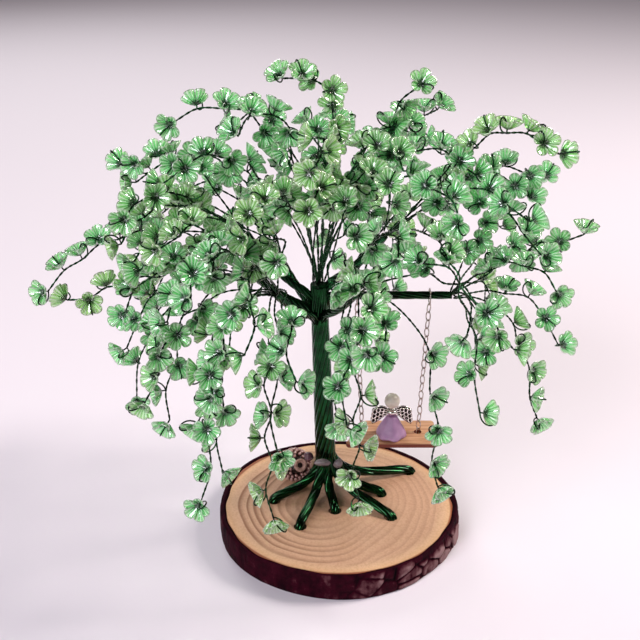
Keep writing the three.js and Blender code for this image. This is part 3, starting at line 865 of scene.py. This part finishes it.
def kinked(path, index):
    """The stem with a kink at each bead, and each bead's place, axis and spin, from the first to the tip."""
    along = np.concatenate([[0], np.cumsum(np.linalg.norm(np.diff(path, axis=0), axis=1))])
    tangents = frames_along(path)[0]
    distances = bead_distances(path, along, index)
    corners = [path[0]] + [at_distance(path, along, share * distances[0]) for share in (0.35, 0.7)]
    stations = []
    for number, distance in enumerate(distances):
        tip = distance == distances[-1]
        tangent = unit(at_distance(tangents, along, distance))
        here = at_distance(path, along, distance)
        out = FACING["out"] * unit((here - TRUNK_TOP) * (1, 1, 0))
        out = out + (0, -np.interp(here[2], *FORWARD), FACING["up"])
        out = unit(out - tangent * (out @ tangent))
        side = 1 if (number + index) % 2 else -1
        axis = rotated(out, tangent, side * FACING["splay"] + FACING["uneven"] * vary(number, index))
        nod = FACING["nod"] * vary(index, number + 5) + (FACING["tip_nod"] if tip else 0)
        place = here + KINK * side * np.cross(tangent, out)
        corners.append(place)
        if tip or not any(within(place, opening) for opening in OPENINGS):
            stations.append((place, unit(axis + nod * tangent), 2.4 * number + index))
    return smooth_line(corners, 8), stations


print("bead places ready")

# %% [markdown]
# ## Branches
# Every branch is a pair of wires twisted together. At each bead the wire leaves the stem, loops over a notch
# between two petals and runs down through the throat back to the stem, which is what holds the bead. All
# the wire of a branch is one piece and all its beads are another, so that the scene has few enough objects.

# %% Branch wires and beads
BRANCH_WIRE = 0.56 * MM
STEM_WIRE, STEM_SPREAD = 0.22 * MM, (0.19 * MM, 0.19 * MM)
TWIST_PITCH = 5 * MM
BEAD_LIFT, LIFT_UNEVEN = 0.7, 0.5  # how far a bead stands off its stem, mm


def bead_loop(place, lift, turn):
    """The wire's loop: off the stem, round outside a notch, down into the throat and back to the stem."""
    notch = turn @ np.array([math.cos(math.pi / 5), math.sin(math.pi / 5), 0])
    axis = turn @ np.array([0, 0, 1])
    corners = [(0, 0), (6.4, 0.3), (4.6, 10.5), (0.2, lift + 1.2)]  # towards the notch and up, mm
    loop = bezier([place + MM * (a * notch + b * axis) for a, b in corners], 12)
    return tube(np.vstack([loop, place]), BRANCH_WIRE / 2, 5)


def make_branch(name, start, row, index, nodes=()):
    stem, stations = kinked(branch_path(start, row), index)
    length = np.linalg.norm(np.diff(stem, axis=0), axis=1).sum()
    wires = bundle(stem, 2, STEM_WIRE, STEM_SPREAD, length / TWIST_PITCH, 5)
    beads, colours = [], []
    for place, axis, spin in stations:
        lean = Vector((0, 0, 1)).rotation_difference(Vector(axis)).to_matrix()
        turn = np.array(lean @ Matrix.Rotation(spin, 3, "Z"))
        lift = BEAD_LIFT + LIFT_UNEVEN * vary(spin, index)
        beads.append((bead_points @ turn.T + place + lift * MM * axis, bead_faces))
        wires.append(bead_loop(place, lift, turn))
        tint = 0.5 + 0.5 * vary(spin, 3 * index)
        ones = np.ones_like(bead_reach)
        colours.append(np.stack([bead_reach, ones * tint**4, bead_crest, ones], axis=1))
    piece(name + "_wire", joined(wires), green_wire, nodes)
    strung = piece(name + "_beads", joined(beads), bead_acrylic)
    paint(strung, "petal", np.concatenate(colours))
    return len(beads)


bead_total = 0
branch_number = 0
for limb, rows in BRANCHES.items():
    for start, row in spray_starts(*limb_ends[limb], rows):
        branch_number += 1
        name = f"branch_{branch_number:02d}"
        bead_total += make_branch(name, start, row, branch_number - 1, [name])
print("planned branches:", branch_number, "with", bead_total, "beads")

# %% [markdown]
# ## Further branches
# The planned branches give the tree its outline, and the real crown is denser. More are added by a rule:
# their tips wind down from the crown's top to its hem, each a golden angle on from the last, which spreads
# them evenly however many there are. They crowd a little to the front, start from the limb that lies most
# nearly their way, and leave room for the swing to move and to be seen.

# %% Further branches
GOLDEN_ANGLE = math.pi * (3 - math.sqrt(5))
FURTHER_BRANCHES = 56
FIRST_TURN = -0.2
FRONT_CROWDING = 0.4
CROWN_MIDDLE = np.array([-6, 0]) * MM
CROWN_HALF = np.array([82, 62]) * MM
CROWN_ABOVE = 134 * MM  # tips above this start from the trunk's top
CROWN_RISE = 78
# Shares of the way from the first tip to the last, and the height in mm and the reach at each
TIP_HEIGHTS = ((0, 0.45, 0.75, 1), (152, 116, 88, 50))
TIP_REACHES = ((0, 0.2, 0.5, 1), (0.45, 0.8, 0.95, 0.72))
HEIGHT_UNEVEN, REACH_UNEVEN = 6, 0.1
# How far a tip lies above its limb's end, mm, and the angle for each
RISES = ((-40, 20), (25, 55))
FALLS = ((-50, 20), (84, 48))
SWING_ROOM = np.array([(-2, -24, 28), (46, 38, 93.5)]) * MM
SWING_VIEW = ((21, 7, 58), (17, -45, 84), 14)


def limb_for(tip):
    """The limb whose end lies most nearly towards a tip; 10 mm of height counts as 3 degrees of bearing."""

    def miss(limb):
        end = limb_ends[limb][0]
        ways = unit((np.array([tip, end]) - TRUNK_TOP) * (1, 1, 0))
        bearing = math.degrees(math.acos(np.clip(ways[0] @ ways[1], -1, 1)))
        return bearing + 0.3 * abs(tip[2] - end[2]) / MM

    return "crown" if tip[2] > CROWN_ABOVE else min(LIMBS, key=miss)


def further_row(number):
    """Limb and row of a further branch."""
    share = (number + 0.5) / FURTHER_BRANCHES
    turn = FIRST_TURN + number * GOLDEN_ANGLE
    turn -= FRONT_CROWDING * math.cos(turn)
    reach = np.interp(share, *TIP_REACHES) + REACH_UNEVEN * vary(number, 3)
    level = CROWN_MIDDLE + reach * CROWN_HALF * (math.cos(turn), math.sin(turn))
    height = np.interp(share, *TIP_HEIGHTS) + HEIGHT_UNEVEN * vary(number, 8)
    tip = np.array([*level, height * MM])
    limb = limb_for(tip)
    climb = (tip[2] - limb_ends[limb][0][2]) / MM
    rise = CROWN_RISE if limb == "crown" else np.interp(climb, *RISES)
    return limb, (*(tip / MM), rise, np.interp(climb, *FALLS))


def meets_swing(path):
    """Whether a branch would hang where the swing moves, or hide it from the front."""
    inside = np.all((path > SWING_ROOM[0]) & (path < SWING_ROOM[1]), axis=1)
    return inside.any() or any(within(place, SWING_VIEW) for place in path)


for number in range(FURTHER_BRANCHES):
    limb, row = further_row(number)
    end, direction, _ = limb_ends[limb]
    if meets_swing(branch_path(end, row)[8:]):
        continue
    branch_number += 1
    bead_total += make_branch(f"branch_{branch_number:02d}", end - direction * MM, row, branch_number - 1)
print("branches:", branch_number, "with", bead_total, "beads")

# %% [markdown]
# ## Swing chains
# Fine cable chain of bright plated steel hangs from a ring round the level limb. Each link is a closed oval
# of round wire, turned a quarter from the one above and hung in it, so the links really pass through each
# other. The frame's box of each chain gives the height of its foot in the seat. Plating wears dull where
# links rub, so one noise drives both its colour and its roughness.

# %% Chain finish and links
chain_metal = new_finish("Plated_steel_chain", Metallic=1.0)
wear = mottled(chain_metal, 1.5 * MM, 2.0, (0.35, "#8f7d78"), (0.65, "#d8cbc6"))
dulled = add_node(chain_metal, "ShaderNodeMapRange", {"Value": wear, "To Min": 0.42, "To Max": 0.16})
feed(chain_metal, Roughness=dulled.outputs["Result"])

CHAIN_WIRE = 0.45 * MM
CHAIN_PITCH = 3.4 * MM
CHAIN_LINK_WIDTH = 2.4 * MM
CHAINS = {"chain_left": (6.5 * MM, 9.5 * MM), "chain_right": (33 * MM, 31 * MM)}  # x at the top and the foot
SWING_Y = 7 * MM
LIMB_HEIGHT = 96.5 * MM
RING_RADIUS = 3 * MM
RING_DROP = 0.7 * MM  # how far a ring's middle hangs below the limb's


def oval(middle, along, across, length, width):
    """Closed oval loop of points with its length along one direction and its width across another."""
    angles = turns_round(20)[:, None]
    return middle + length / 2 * np.cos(angles) * along + width / 2 * np.sin(angles) * across


for name, (top_x, foot_x) in CHAINS.items():
    ring_middle = np.array([top_x, SWING_Y, LIMB_HEIGHT - RING_DROP])
    ring = oval(ring_middle, (0, 0, 1), (0, 1, 0), 2 * RING_RADIUS, 2 * RING_RADIUS)
    links = [tube(ring, CHAIN_WIRE / 2, 8, True)]
    top = ring_middle - np.array([0, 0, RING_RADIUS - CHAIN_WIRE / 2])
    foot = np.array([foot_x, SWING_Y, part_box(name)[0].z])
    drop = np.linalg.norm(foot - top)
    count = round(drop / CHAIN_PITCH)
    spacing = drop / count
    down = (foot - top) / drop
    sideways = unit(np.cross((0, 1, 0), down))
    for i in range(count):
        across = unit(sideways + ((0, 1, 0) if i % 2 else (0, -1, 0)))
        middle = top + down * spacing * (i + 0.5)
        link = oval(middle, down, across, spacing + CHAIN_WIRE, CHAIN_LINK_WIDTH - CHAIN_WIRE)
        links.append(tube(link, CHAIN_WIRE / 2, 8, True))
    piece(name + "_links", joined(links), chain_metal, [name], "swing")
print("chains:", count, "links each")

# %% [markdown]
# ## Birch slat finish
# The seat is a short craft slat of birch: flat sawn, with fine grain along its length. The grain is a noise
# stretched along the slat. Faces that turn away from upright are painted darker and browner than the top, as
# painted shade, by the way that a face points.

# %% Seat finish
GRAIN = (22 * MM, 1.6 * MM, 0.9 * MM)  # length, width and depth of a streak
seat_wood = new_finish("Birch_craft_slat", Roughness=0.62)
surface = add_node(seat_wood, "ShaderNodeTexCoord").outputs["Object"]
stretched = add_node(
    seat_wood, "ShaderNodeVectorMath", {0: surface, 1: [1 / size for size in GRAIN]}, operation="MULTIPLY"
)
grain = add_node(
    seat_wood,
    "ShaderNodeTexNoise",
    {"Vector": stretched.outputs[0], "Scale": 1.0, "Detail": 4.0, "Distortion": 0.4},
)
streaks = add_node(
    seat_wood,
    "ShaderNodeValToRGB",
    {"Fac": grain.outputs["Fac"]},
    [(0.3, "#a8704e"), (0.5, "#d09a74"), (0.7, "#e2b692")],
)
facing = add_node(seat_wood, "ShaderNodeNewGeometry")
upright = add_node(seat_wood, "ShaderNodeSeparateXYZ", {"Vector": facing.outputs["True Normal"]})
# Painted shade: faces that turn from upright are painted darker and browner
side_painted_shade = add_node(
    seat_wood, "ShaderNodeValToRGB", {"Fac": upright.outputs["Z"]}, [(0.2, "#8a5048"), (0.9, "#ffffff")]
)
side_shaded = add_node(
    seat_wood,
    "ShaderNodeMix",
    {"Factor": 1.0, COLOUR_A: streaks.outputs["Color"], COLOUR_B: side_painted_shade.outputs["Color"]},
    data_type="RGBA",
    blend_type="MULTIPLY",
)
seat_bump = add_node(
    seat_wood, "ShaderNodeBump", {"Height": grain.outputs["Fac"], "Strength": 0.25, "Distance": 0.2 * MM}
)
feed(seat_wood, Base_Color=side_shaded.outputs[BLEND], Normal=seat_bump.outputs["Normal"])
print("finish:", seat_wood.name)

# %% [markdown]
# ## Swing seat
# One end of the slat is cut on the slant, its corners are rounded and its arrises are eased with sandpaper.
# Four loops, two of them drawn in by the arris, are enough for that shape. A hole is drilled at each chain.

# %% Seat
seat_low, seat_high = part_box("swing_seat")
SEAT_MIDDLE = (np.array(seat_low) + np.array(seat_high)) / 2
SEAT_HALF = (np.array(seat_high) - np.array(seat_low)) / 2
CORNER = 1.4 * MM
ARRIS = 0.3 * MM
SLANT = 7 * MM  # how far the back corner of its left end is cut in
SEAT_HOLE = 1.5 * MM


def slat_loop(inset, height):
    """Rounded rectangle of the slat, drawn in by inset, at a height."""
    loop = []
    for x_side, y_side, first in ((1, 1, 0), (-1, 1, 90), (-1, -1, 180), (1, -1, 270)):
        centre = (SEAT_HALF[:2] - CORNER) * (x_side, y_side)
        if (x_side, y_side) == (-1, 1):
            centre[0] += SLANT
        for angle in np.radians(np.linspace(first, first + 90, 5)):
            out = np.array([math.cos(angle), math.sin(angle)])
            loop.append([*(centre + (CORNER - inset) * out), height])
    return np.array(loop) + [SEAT_MIDDLE[0], SEAT_MIDDLE[1], 0]


slat_rows = [
    slat_loop(ARRIS, seat_low.z), slat_loop(0, seat_low.z + ARRIS),
    slat_loop(0, seat_high.z - ARRIS), slat_loop(ARRIS, seat_high.z),
]
seat = piece("swing_slat", lofted(slat_rows), seat_wood, ["swing_seat"], "swing", smooth=False)
seat_holes = [(foot_x, SWING_Y) for _, foot_x in CHAINS.values()]
drilled(seat, seat_holes, SEAT_HOLE, seat_low.z - MM, seat_high.z + MM)
print("seat:", len(seat.data.polygons), "faces")

# %% [markdown]
# ## Bead angel: skirt
# The skirt is a bell-flower bead of frosted acrylic: a hollow bell with soft petal folds and a scalloped
# hem. Frosting scatters light at the surface and a little way in, so the bell takes some transmission, some
# subsurface and a middling roughness. Loops down its inside and up its outside make it one closed solid.

# %% Skirt
skirt_acrylic = new_finish(
    "Frosted_lavender_acrylic",
    Roughness=0.42,
    IOR=1.49,
    Transmission_Weight=0.35,
    Subsurface_Weight=0.2,
    Subsurface_Radius=(2 * MM, 1.4 * MM, 2 * MM),
    Subsurface_Scale=1.0,
)
mottled(skirt_acrylic, 2.5 * MM, 2.0, (0.3, "#c496c4"), (0.7, "#dcb2d8"))

skirt_low, skirt_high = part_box("angel_skirt")
SKIRT_HEIGHT = skirt_high.z - skirt_low.z
SKIRT_PETALS = 6
ANGEL_Y = (skirt_low.y + skirt_high.y) / 2
# Share of the height, radius in mm, depth of the folds as a share, rise of the hem between petals in mm
SKIRT_OUTSIDE = [
    (0.0, 5.5, 0.035, 0.4), (0.07, 5.75, 0.035, 0.35), (0.2, 5.5, 0.035, 0.2), (0.38, 4.8, 0.035, 0.1),
    (0.58, 3.8, 0.04, 0), (0.77, 2.9, 0.03, 0), (0.92, 2.2, 0.015, 0), (1.0, 1.4, 0, 0),
]
SKIRT_INSIDE = [(0.85, 1.0, 0, 0), (0.6, 2.8, 0.03, 0), (0.3, 4.5, 0.035, 0.2), (0.04, 5.0, 0.035, 0.4)]


def skirt_loop(share, radius, fold, hem):
    """Loop of the bell at a share of its height; fold is how deep its petal folds are there."""
    angles = turns_round(60)
    wave = np.cos(SKIRT_PETALS * angles + math.pi / 2)
    reach = radius * MM * (1 + fold * wave)
    height = skirt_low.z + SKIRT_HEIGHT * share + hem * MM * (1 - wave) / 2
    x, y = SEAT_MIDDLE[0] + reach * np.cos(angles), ANGEL_Y + reach * np.sin(angles)
    return np.stack([x, y, height], axis=1)


bell = lofted([skirt_loop(*row) for row in SKIRT_OUTSIDE + SKIRT_INSIDE], ring=True)
piece("angel_bell_skirt", bell, skirt_acrylic, ["angel_skirt"], "swing")
print("skirt of", SKIRT_PETALS, "petals")

# %% [markdown]
# ## Bead angel: pearl
# The head is a glass pearl: a glass ball dipped in cream lacquer with a soft lustre under a clear coat. It is
# drilled through, so its loops run over the ball from one end of the bore to the other and back through it.

# %% Pearl
pearl_coat = new_finish("Cream_glass_pearl", Roughness=0.28, Coat_Weight=0.8, Coat_Roughness=0.08)
mottled(pearl_coat, 1.8 * MM, 1.0, (0.3, "#cdbfb0"), (0.7, "#e4d8cb"))
pearl_low, pearl_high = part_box("angel_pearl")
pearl_middle = (np.array(pearl_low) + np.array(pearl_high)) / 2
PEARL_RADIUS = 3 * MM
BORE_RADIUS = 0.5 * MM
lean = math.asin(BORE_RADIUS / PEARL_RADIUS)
angles = turns_round(28)
pearl_rows = []
for tilt in np.linspace(lean, math.pi - lean, 18):
    ring = np.stack([np.cos(angles), np.sin(angles), 0 * angles - 1 / math.tan(tilt)], axis=1)
    pearl_rows.append(pearl_middle + PEARL_RADIUS * math.sin(tilt) * ring)
piece("angel_pearl_head", lofted(pearl_rows, ring=True), pearl_coat, ["angel_pearl"], "swing")
print("pearl of", 2 * PEARL_RADIUS / MM, "mm")

# %% [markdown]
# ## Bead angel: wings
# The wings are one small casting of silver-coloured metal. It is blackened all over and then polished, which
# leaves the hollows dark and the feather ribs bright, so the ribs are made as wires on a dark plate. The dark
# plate is partly that blackened metal and partly painted shade standing in for the shade seen through the
# wings' open lattice. Rows of open scales stand for the feathers on both faces, and a small collar joins the
# wings under the head.

# %% Wing finishes and outline
# Near-black plate: blackened metal, and painted shade in the openings of the lattice
wing_dark_and_shade = new_finish("Blackened_silver_and_painted_shade", Metallic=0.9, Roughness=0.5)
mottled(wing_dark_and_shade, 0.8 * MM, 2.0, (0.35, "#150f0e"), (0.7, "#3f3533"))
wing_bright = new_finish("Polished_silver_ribs", Metallic=1.0, Roughness=0.22)
mottled(wing_bright, 0.6 * MM, 2.0, (0.3, "#b3a5a0"), (0.6, "#f2ebe6"))

wing_low, wing_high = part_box("angel_wings")
WING_ROOT = np.array([SEAT_MIDDLE[0], ANGEL_Y, (skirt_high.z + pearl_low.z) / 2])
WING_REACH = (wing_high.x - wing_low.x) / 2
# Curves over, down the outside of and under a wing: shares of its reach, heights in mm
WING_CURVES = [
    [(0.2, 0.8), (0.35, 2.7), (0.85, 2.9), (0.95, -0.6)],
    [(0.95, -0.6), (0.96, -2.8), (0.98, -4.4), (0.99, -5.3)],
    [(0.99, -5.3), (0.75, -4.8), (0.5, -2.6), (0.2, -0.8)],
]


def wing_point(side, x, z):
    return WING_ROOT + np.array([side * x * WING_REACH, 0, z * MM])


def wing_outline(side):
    runs = [bezier([wing_point(side, *corner) for corner in run], 8)[:-1] for run in WING_CURVES]
    return np.vstack(runs)


print("finishes:", wing_dark_and_shade.name, "and", wing_bright.name)

# %% [markdown]
# ## Bead angel: feathers
# Each feather is a row of three open ovals that runs from the wing's leading edge to its tip, laid on both
# faces of the plate. The plate's edge is drawn in a little at its faces, as a casting's is.

# %% Wings
FEATHERS = 4
PLATE_SECTION = ((0.9, -0.55), (1.0, -0.35), (1.0, 0.35), (0.9, 0.55))  # share of the outline, depth in mm
RIB_FACE = 0.6 * MM
EDGE_RIB, FEATHER_RIB, FEATHER_WIDTH = 0.3 * MM, 0.26 * MM, 1.6 * MM
FEATHER_SCALES = ((0.2, 0.34), (0.52, 0.34), (0.84, 0.3))  # middle and length, as shares of the feather
plates, ribs = [], []
for side in (1, -1):
    outline = wing_outline(side)
    middle = outline.mean(axis=0)
    rows = []
    for inset, depth in PLATE_SECTION:
        rows.append(middle + (outline - middle) * inset + np.array([0, depth * MM, 0]))
    plates.append(lofted(rows))
    ribs.append(tube(outline, EDGE_RIB, 6, True))
    for feather in range(FEATHERS):
        share = feather / (FEATHERS - 1)  # the outer feathers are the longer ones
        root = wing_point(side, 0.3 + 0.55 * share, 1.2 + 0.6 * math.sin(math.pi * share))
        tip = wing_point(side, 0.38 + 0.57 * share, -1.5 - 3.1 * share)
        length = np.linalg.norm(tip - root)
        along = unit(tip - root)
        across = np.cross(along, (0, 1, 0))
        for face in (-RIB_FACE, RIB_FACE):
            for part, size in FEATHER_SCALES:
                centre = root + along * length * part + np.array([0, face, 0])
                scale = oval(centre, along, across, length * size, FEATHER_WIDTH)
                ribs.append(tube(scale, FEATHER_RIB, 5, True))
piece("angel_wing_plates", joined(plates), wing_dark_and_shade, ["angel_wings"], "swing")
piece("angel_wing_feathers", joined(ribs), wing_bright, ["angel_wings"], "swing")
collar = tube(oval(WING_ROOT, (1, 0, 0), (0, 1, 0), 2.6 * MM, 2.6 * MM), 0.9 * MM, 8, True)
piece("angel_wing_collar", collar, wing_bright, ["angel_wings"], "swing")
print("wings:", len(ribs), "ribs")

# %% [markdown]
# ## Pine cone finish and frame
# A little cone lies by the trunk with its stem end to the front. Its scales are dark brown under a glossy
# varnish. Each point keeps its place along its scale as a colour, and a ramp over that place paints the roots
# near black, as painted shade between the scales, and the ends pale, partly rubbed paler and partly a painted
# highlight.

# %% Cone finish
cone_scales = new_finish("Varnished_cone_scale", Roughness=0.3, Coat_Weight=1.0, Coat_Roughness=0.06)
surface = add_node(cone_scales, "ShaderNodeTexCoord").outputs["Object"]
along_scale = add_node(cone_scales, "ShaderNodeAttribute", attribute_name="scale_end")
fibre = add_node(
    cone_scales, "ShaderNodeTexNoise", {"Vector": surface, "Scale": 1 / (0.9 * MM), "Detail": 3.0}
)
end_share = add_node(
    cone_scales,
    "ShaderNodeMath",
    {0: fibre.outputs["Fac"], 1: 0.15, 2: along_scale.outputs["Fac"]},
    operation="MULTIPLY_ADD",
)
# Near black at the scales' roots as painted shade; pale at their ends, partly rubbed paler and partly a
# painted highlight
scale_shade_and_highlight = add_node(
    cone_scales,
    "ShaderNodeValToRGB",
    {"Fac": end_share.outputs["Value"]},
    [(0.15, "#0a0303"), (0.6, "#341712"), (0.82, "#7a463e"), (1.0, "#b88c82")],
)
feed(cone_scales, Base_Color=scale_shade_and_highlight.outputs["Color"])

CONE = {"middle": np.array([-17.2, 14.4, 18.5]) * MM, "radius": 6.9 * MM, "length": 12.6 * MM, "scales": 130}
CONE_TURN, CONE_LIFT = math.radians(25), math.radians(28)
level = np.array([-math.sin(CONE_TURN), math.cos(CONE_TURN), 0])
back = level * math.cos(CONE_LIFT) - (0, 0, math.sin(CONE_LIFT))
sideways = unit(np.cross(back, (0, 0, 1)))
upward = np.cross(sideways, back)


def cone_radius(share):
    """The cone is an egg: its radius at a share of its length from the stem."""
    return CONE["radius"] * math.sqrt(max(1 - (1.75 * share - 0.88) ** 2, 0.03))


def cone_point(share, reach, angle):
    out = math.cos(angle) * sideways + math.sin(angle) * upward
    return CONE["middle"] + back * CONE["length"] * (share - 0.5) + out * reach


print("finish:", cone_scales.name)

# %% [markdown]
# ## Cone scales
# Scales sit in a spiral, each a golden angle on from the last, and point out from the cone's middle. A scale
# is a tongue that swells to a small round knob, and a plain core closes the gaps between them.

# %% Cone scales
# Share of a scale's length, half its width and half its thickness in mm
SCALE_SECTIONS = ((0, 0.4, 0.25), (0.6, 0.6, 0.4), (0.78, 0.82, 0.7), (0.92, 0.7, 0.55), (1, 0.3, 0.25))
FIRST_SCALE, LAST_SCALE = 0.03, 0.96  # shares of the cone's length
# The core's low tone paints it near black, as painted shade in the gaps between the scales
CORE_SHARES, CORE_REACH, CORE_SHADE_TONE = (0.02, 0.2, 0.5, 0.8, 0.97), 0.66, 0.2


def cone_scale(share, angle):
    """One scale, and how far along it each of its points lies."""
    reach = cone_radius(share)
    lip = cone_point(share, reach, angle)
    base = CONE["middle"] + 0.5 * (lip - CONE["middle"])
    along = unit(lip - base)
    wide = unit(np.cross(along, back))
    thick = np.cross(wide, along)
    size = MM * (0.55 + 0.45 * reach / CONE["radius"])
    turns = turns_round(10)[:, None]
    rows, ends = [], []
    for part, width, depth in SCALE_SECTIONS:
        section = width * np.cos(turns) * wide + depth * np.sin(turns) * thick
        rows.append(base + (lip - base) * part + size * section)
        ends += [part] * len(turns)
    return lofted(rows), ends


scale_shapes, scale_ends = [], []
for number in range(CONE["scales"]):
    share = FIRST_SCALE + (LAST_SCALE - FIRST_SCALE) * number / CONE["scales"]
    shape, ends = cone_scale(share, number * GOLDEN_ANGLE)
    scale_shapes.append(shape)
    scale_ends += ends
core_rows = []
for share in CORE_SHARES:
    reach = CORE_REACH * cone_radius(share)
    core_rows.append(np.array([cone_point(share, reach, turn) for turn in turns_round(16)]))
core = lofted(core_rows)
scale_shapes.append(core)
scale_ends += [CORE_SHADE_TONE] * len(core[0])
cone = piece("pine_cone_scales", joined(scale_shapes), cone_scales, ["pine_cone"])
paint(cone, "scale_end", scale_ends)
print("cone:", CONE["scales"], "scales")

# %% [markdown]
# ## Cone stem
# The stem end is a dry disc where the twig broke off, paler than the scales and hollow in the middle. A
# profile of shares of the cone's length and radii, turned about the cone's axis, gives the disc.

# %% Cone stem
stem_wood = new_finish("Dry_cone_stem", Roughness=0.7)
mottled(stem_wood, 0.8 * MM, 3.0, (0.3, "#8a6456"), (0.7, "#c0998a"))
STEM_PROFILE = ((0.06, 2.5), (-0.02, 2.7), (-0.05, 2.4), (-0.045, 1.6), (0.03, 1.0), (0.03, 0.3))
disc_rows = []
for share, reach in STEM_PROFILE:
    disc_rows.append(np.array([cone_point(share, reach * MM, turn) for turn in turns_round(24)]))
piece("pine_cone_stem", lofted(disc_rows), stem_wood, ["pine_cone"])
print("finish:", stem_wood.name)

# %% [markdown]
# ## Stone chips
# Small tumbled quartz chips are wedged where the roots part. Tumbled quartz is smooth and a little cloudy,
# so some light passes into it. Tumbling rounds a broken stone but leaves its flats, so each is a ball cut
# back by a few planes and made a little lumpy.

# %% Chips
chip_stone = new_finish("Tumbled_quartz", Roughness=0.25, IOR=1.54, Transmission_Weight=0.3)
mottled(chip_stone, 3 * MM, 3.0, (0.3, "#74666a"), (0.7, "#ab9c9e"))
plum_stone = new_finish("Tumbled_plum_quartz", Roughness=0.25, IOR=1.54, Transmission_Weight=0.3)
mottled(plum_stone, 2 * MM, 3.0, (0.3, "#4a2a35"), (0.7, "#7b5560"))
FLATS, FLAT_AT, FLAT_DEPTH = 6, 0.78, 0.8  # how many, how far out they start, how fully they are cut
LUMPS = 0.05
POLE = 0.02  # a ball's loops stop this short of its poles


def tumbled(node, seed):
    """A tumbled stone that fills its node's box."""
    low, high = (np.array(corner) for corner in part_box(node))
    rows = []
    for tilt in np.linspace(POLE, math.pi - POLE, 22):
        row = []
        for angle in turns_round(30):
            level = math.sin(tilt)
            ball = Vector((math.cos(angle) * level, math.sin(angle) * level, -math.cos(tilt)))
            for facet in range(FLATS):
                turn = seed + 1.9 * facet
                flat = Vector((math.cos(turn), math.sin(turn), 0.8 * math.sin(2.3 * turn))).normalized()
                over = ball.dot(flat) - FLAT_AT
                if over > 0:
                    ball = ball - flat * over * FLAT_DEPTH
            row.append(ball * (1 + LUMPS * noise.noise(ball * 2 + Vector((seed, 0, 0)))))
        rows.append(np.array(row) * (high - low) / 2 + (high + low) / 2)
    return lofted(rows)


piece("front_chip", tumbled("chip_front", 1.0), chip_stone, ["chip_front"])
piece("left_chip", tumbled("chip_left", 2.0), plum_stone, ["chip_left"])
piece("right_chip", tumbled("chip_right", 3.0), chip_stone, ["chip_right"])
print("chips: 3")

# %% [markdown]
# ## Floor and light
# A plain pale card under the tree and three broad soft lights: a key from the right, a fill from the front
# left and a weak one behind. Broad lights give the beads wide highlights and the slice a soft shadow.

# %% Floor and lights
floor_finish = new_finish("Pale_matt_card", Roughness=0.8, Base_Color=linear("#e9e2e8"))
FLOOR_HALF = 3
floor_mesh = bpy.data.meshes.new("floor")
floor_corners = [(x * FLOOR_HALF, y * FLOOR_HALF, 0) for x, y in ((-1, -1), (1, -1), (1, 1), (-1, 1))]
floor_mesh.from_pydata(floor_corners, [], [(0, 1, 2, 3)])
floor_mesh.materials.append(floor_finish)
floor = bpy.data.objects.new("floor", floor_mesh)
bpy.context.scene.collection.objects.link(floor)


def soft_light(name, place, target, size, watts, colour):
    lamp = bpy.data.lights.new(name, "AREA")
    lamp.size = size
    lamp.energy = watts
    lamp.color = linear(colour)[:3]
    made = bpy.data.objects.new(name, lamp)
    made.location = place
    made.rotation_euler = (Vector(target) - Vector(place)).to_track_quat("-Z", "Y").to_euler()
    bpy.context.scene.collection.objects.link(made)


soft_light("key", (1.0, 0.15, 0.95), (0, 0, 0.06), 0.4, 18, "#fff6f2")
soft_light("fill", (-0.7, -0.95, 0.8), (0, 0, 0.08), 0.7, 16, "#f8f4ff")
soft_light("back", (-0.5, 1.1, 1.0), (0, 0, 0.1), 0.7, 8, "#ffffff")
world = bpy.data.worlds.new("studio")
world.use_nodes = True
world.node_tree.nodes["Background"].inputs["Color"].default_value = linear("#b9a8b2")
world.node_tree.nodes["Background"].inputs["Strength"].default_value = 0.15
bpy.context.scene.world = world
bpy.context.scene.view_settings.view_transform = "Standard"
print("studio: a floor and 3 lights")

# %% [markdown]
# ## Camera
# The camera stands at the photograph's own viewpoint. Its lens has a 36 degree field and looks 25 degrees
# down, so it is turned 65 degrees up from straight down.

# %% Camera
FIELD, LOOK_DOWN = math.radians(36), math.radians(25)
lens = bpy.data.cameras.new("camera")
lens.angle = FIELD
camera = bpy.data.objects.new("camera", lens)
camera.location = (-0.007, -0.3222, 0.240)
camera.rotation_euler = (math.pi / 2 - LOOK_DOWN, 0, 0)
bpy.context.scene.collection.objects.link(camera)
bpy.context.scene.camera = camera
print("camera at", tuple(round(value, 3) for value in camera.location))
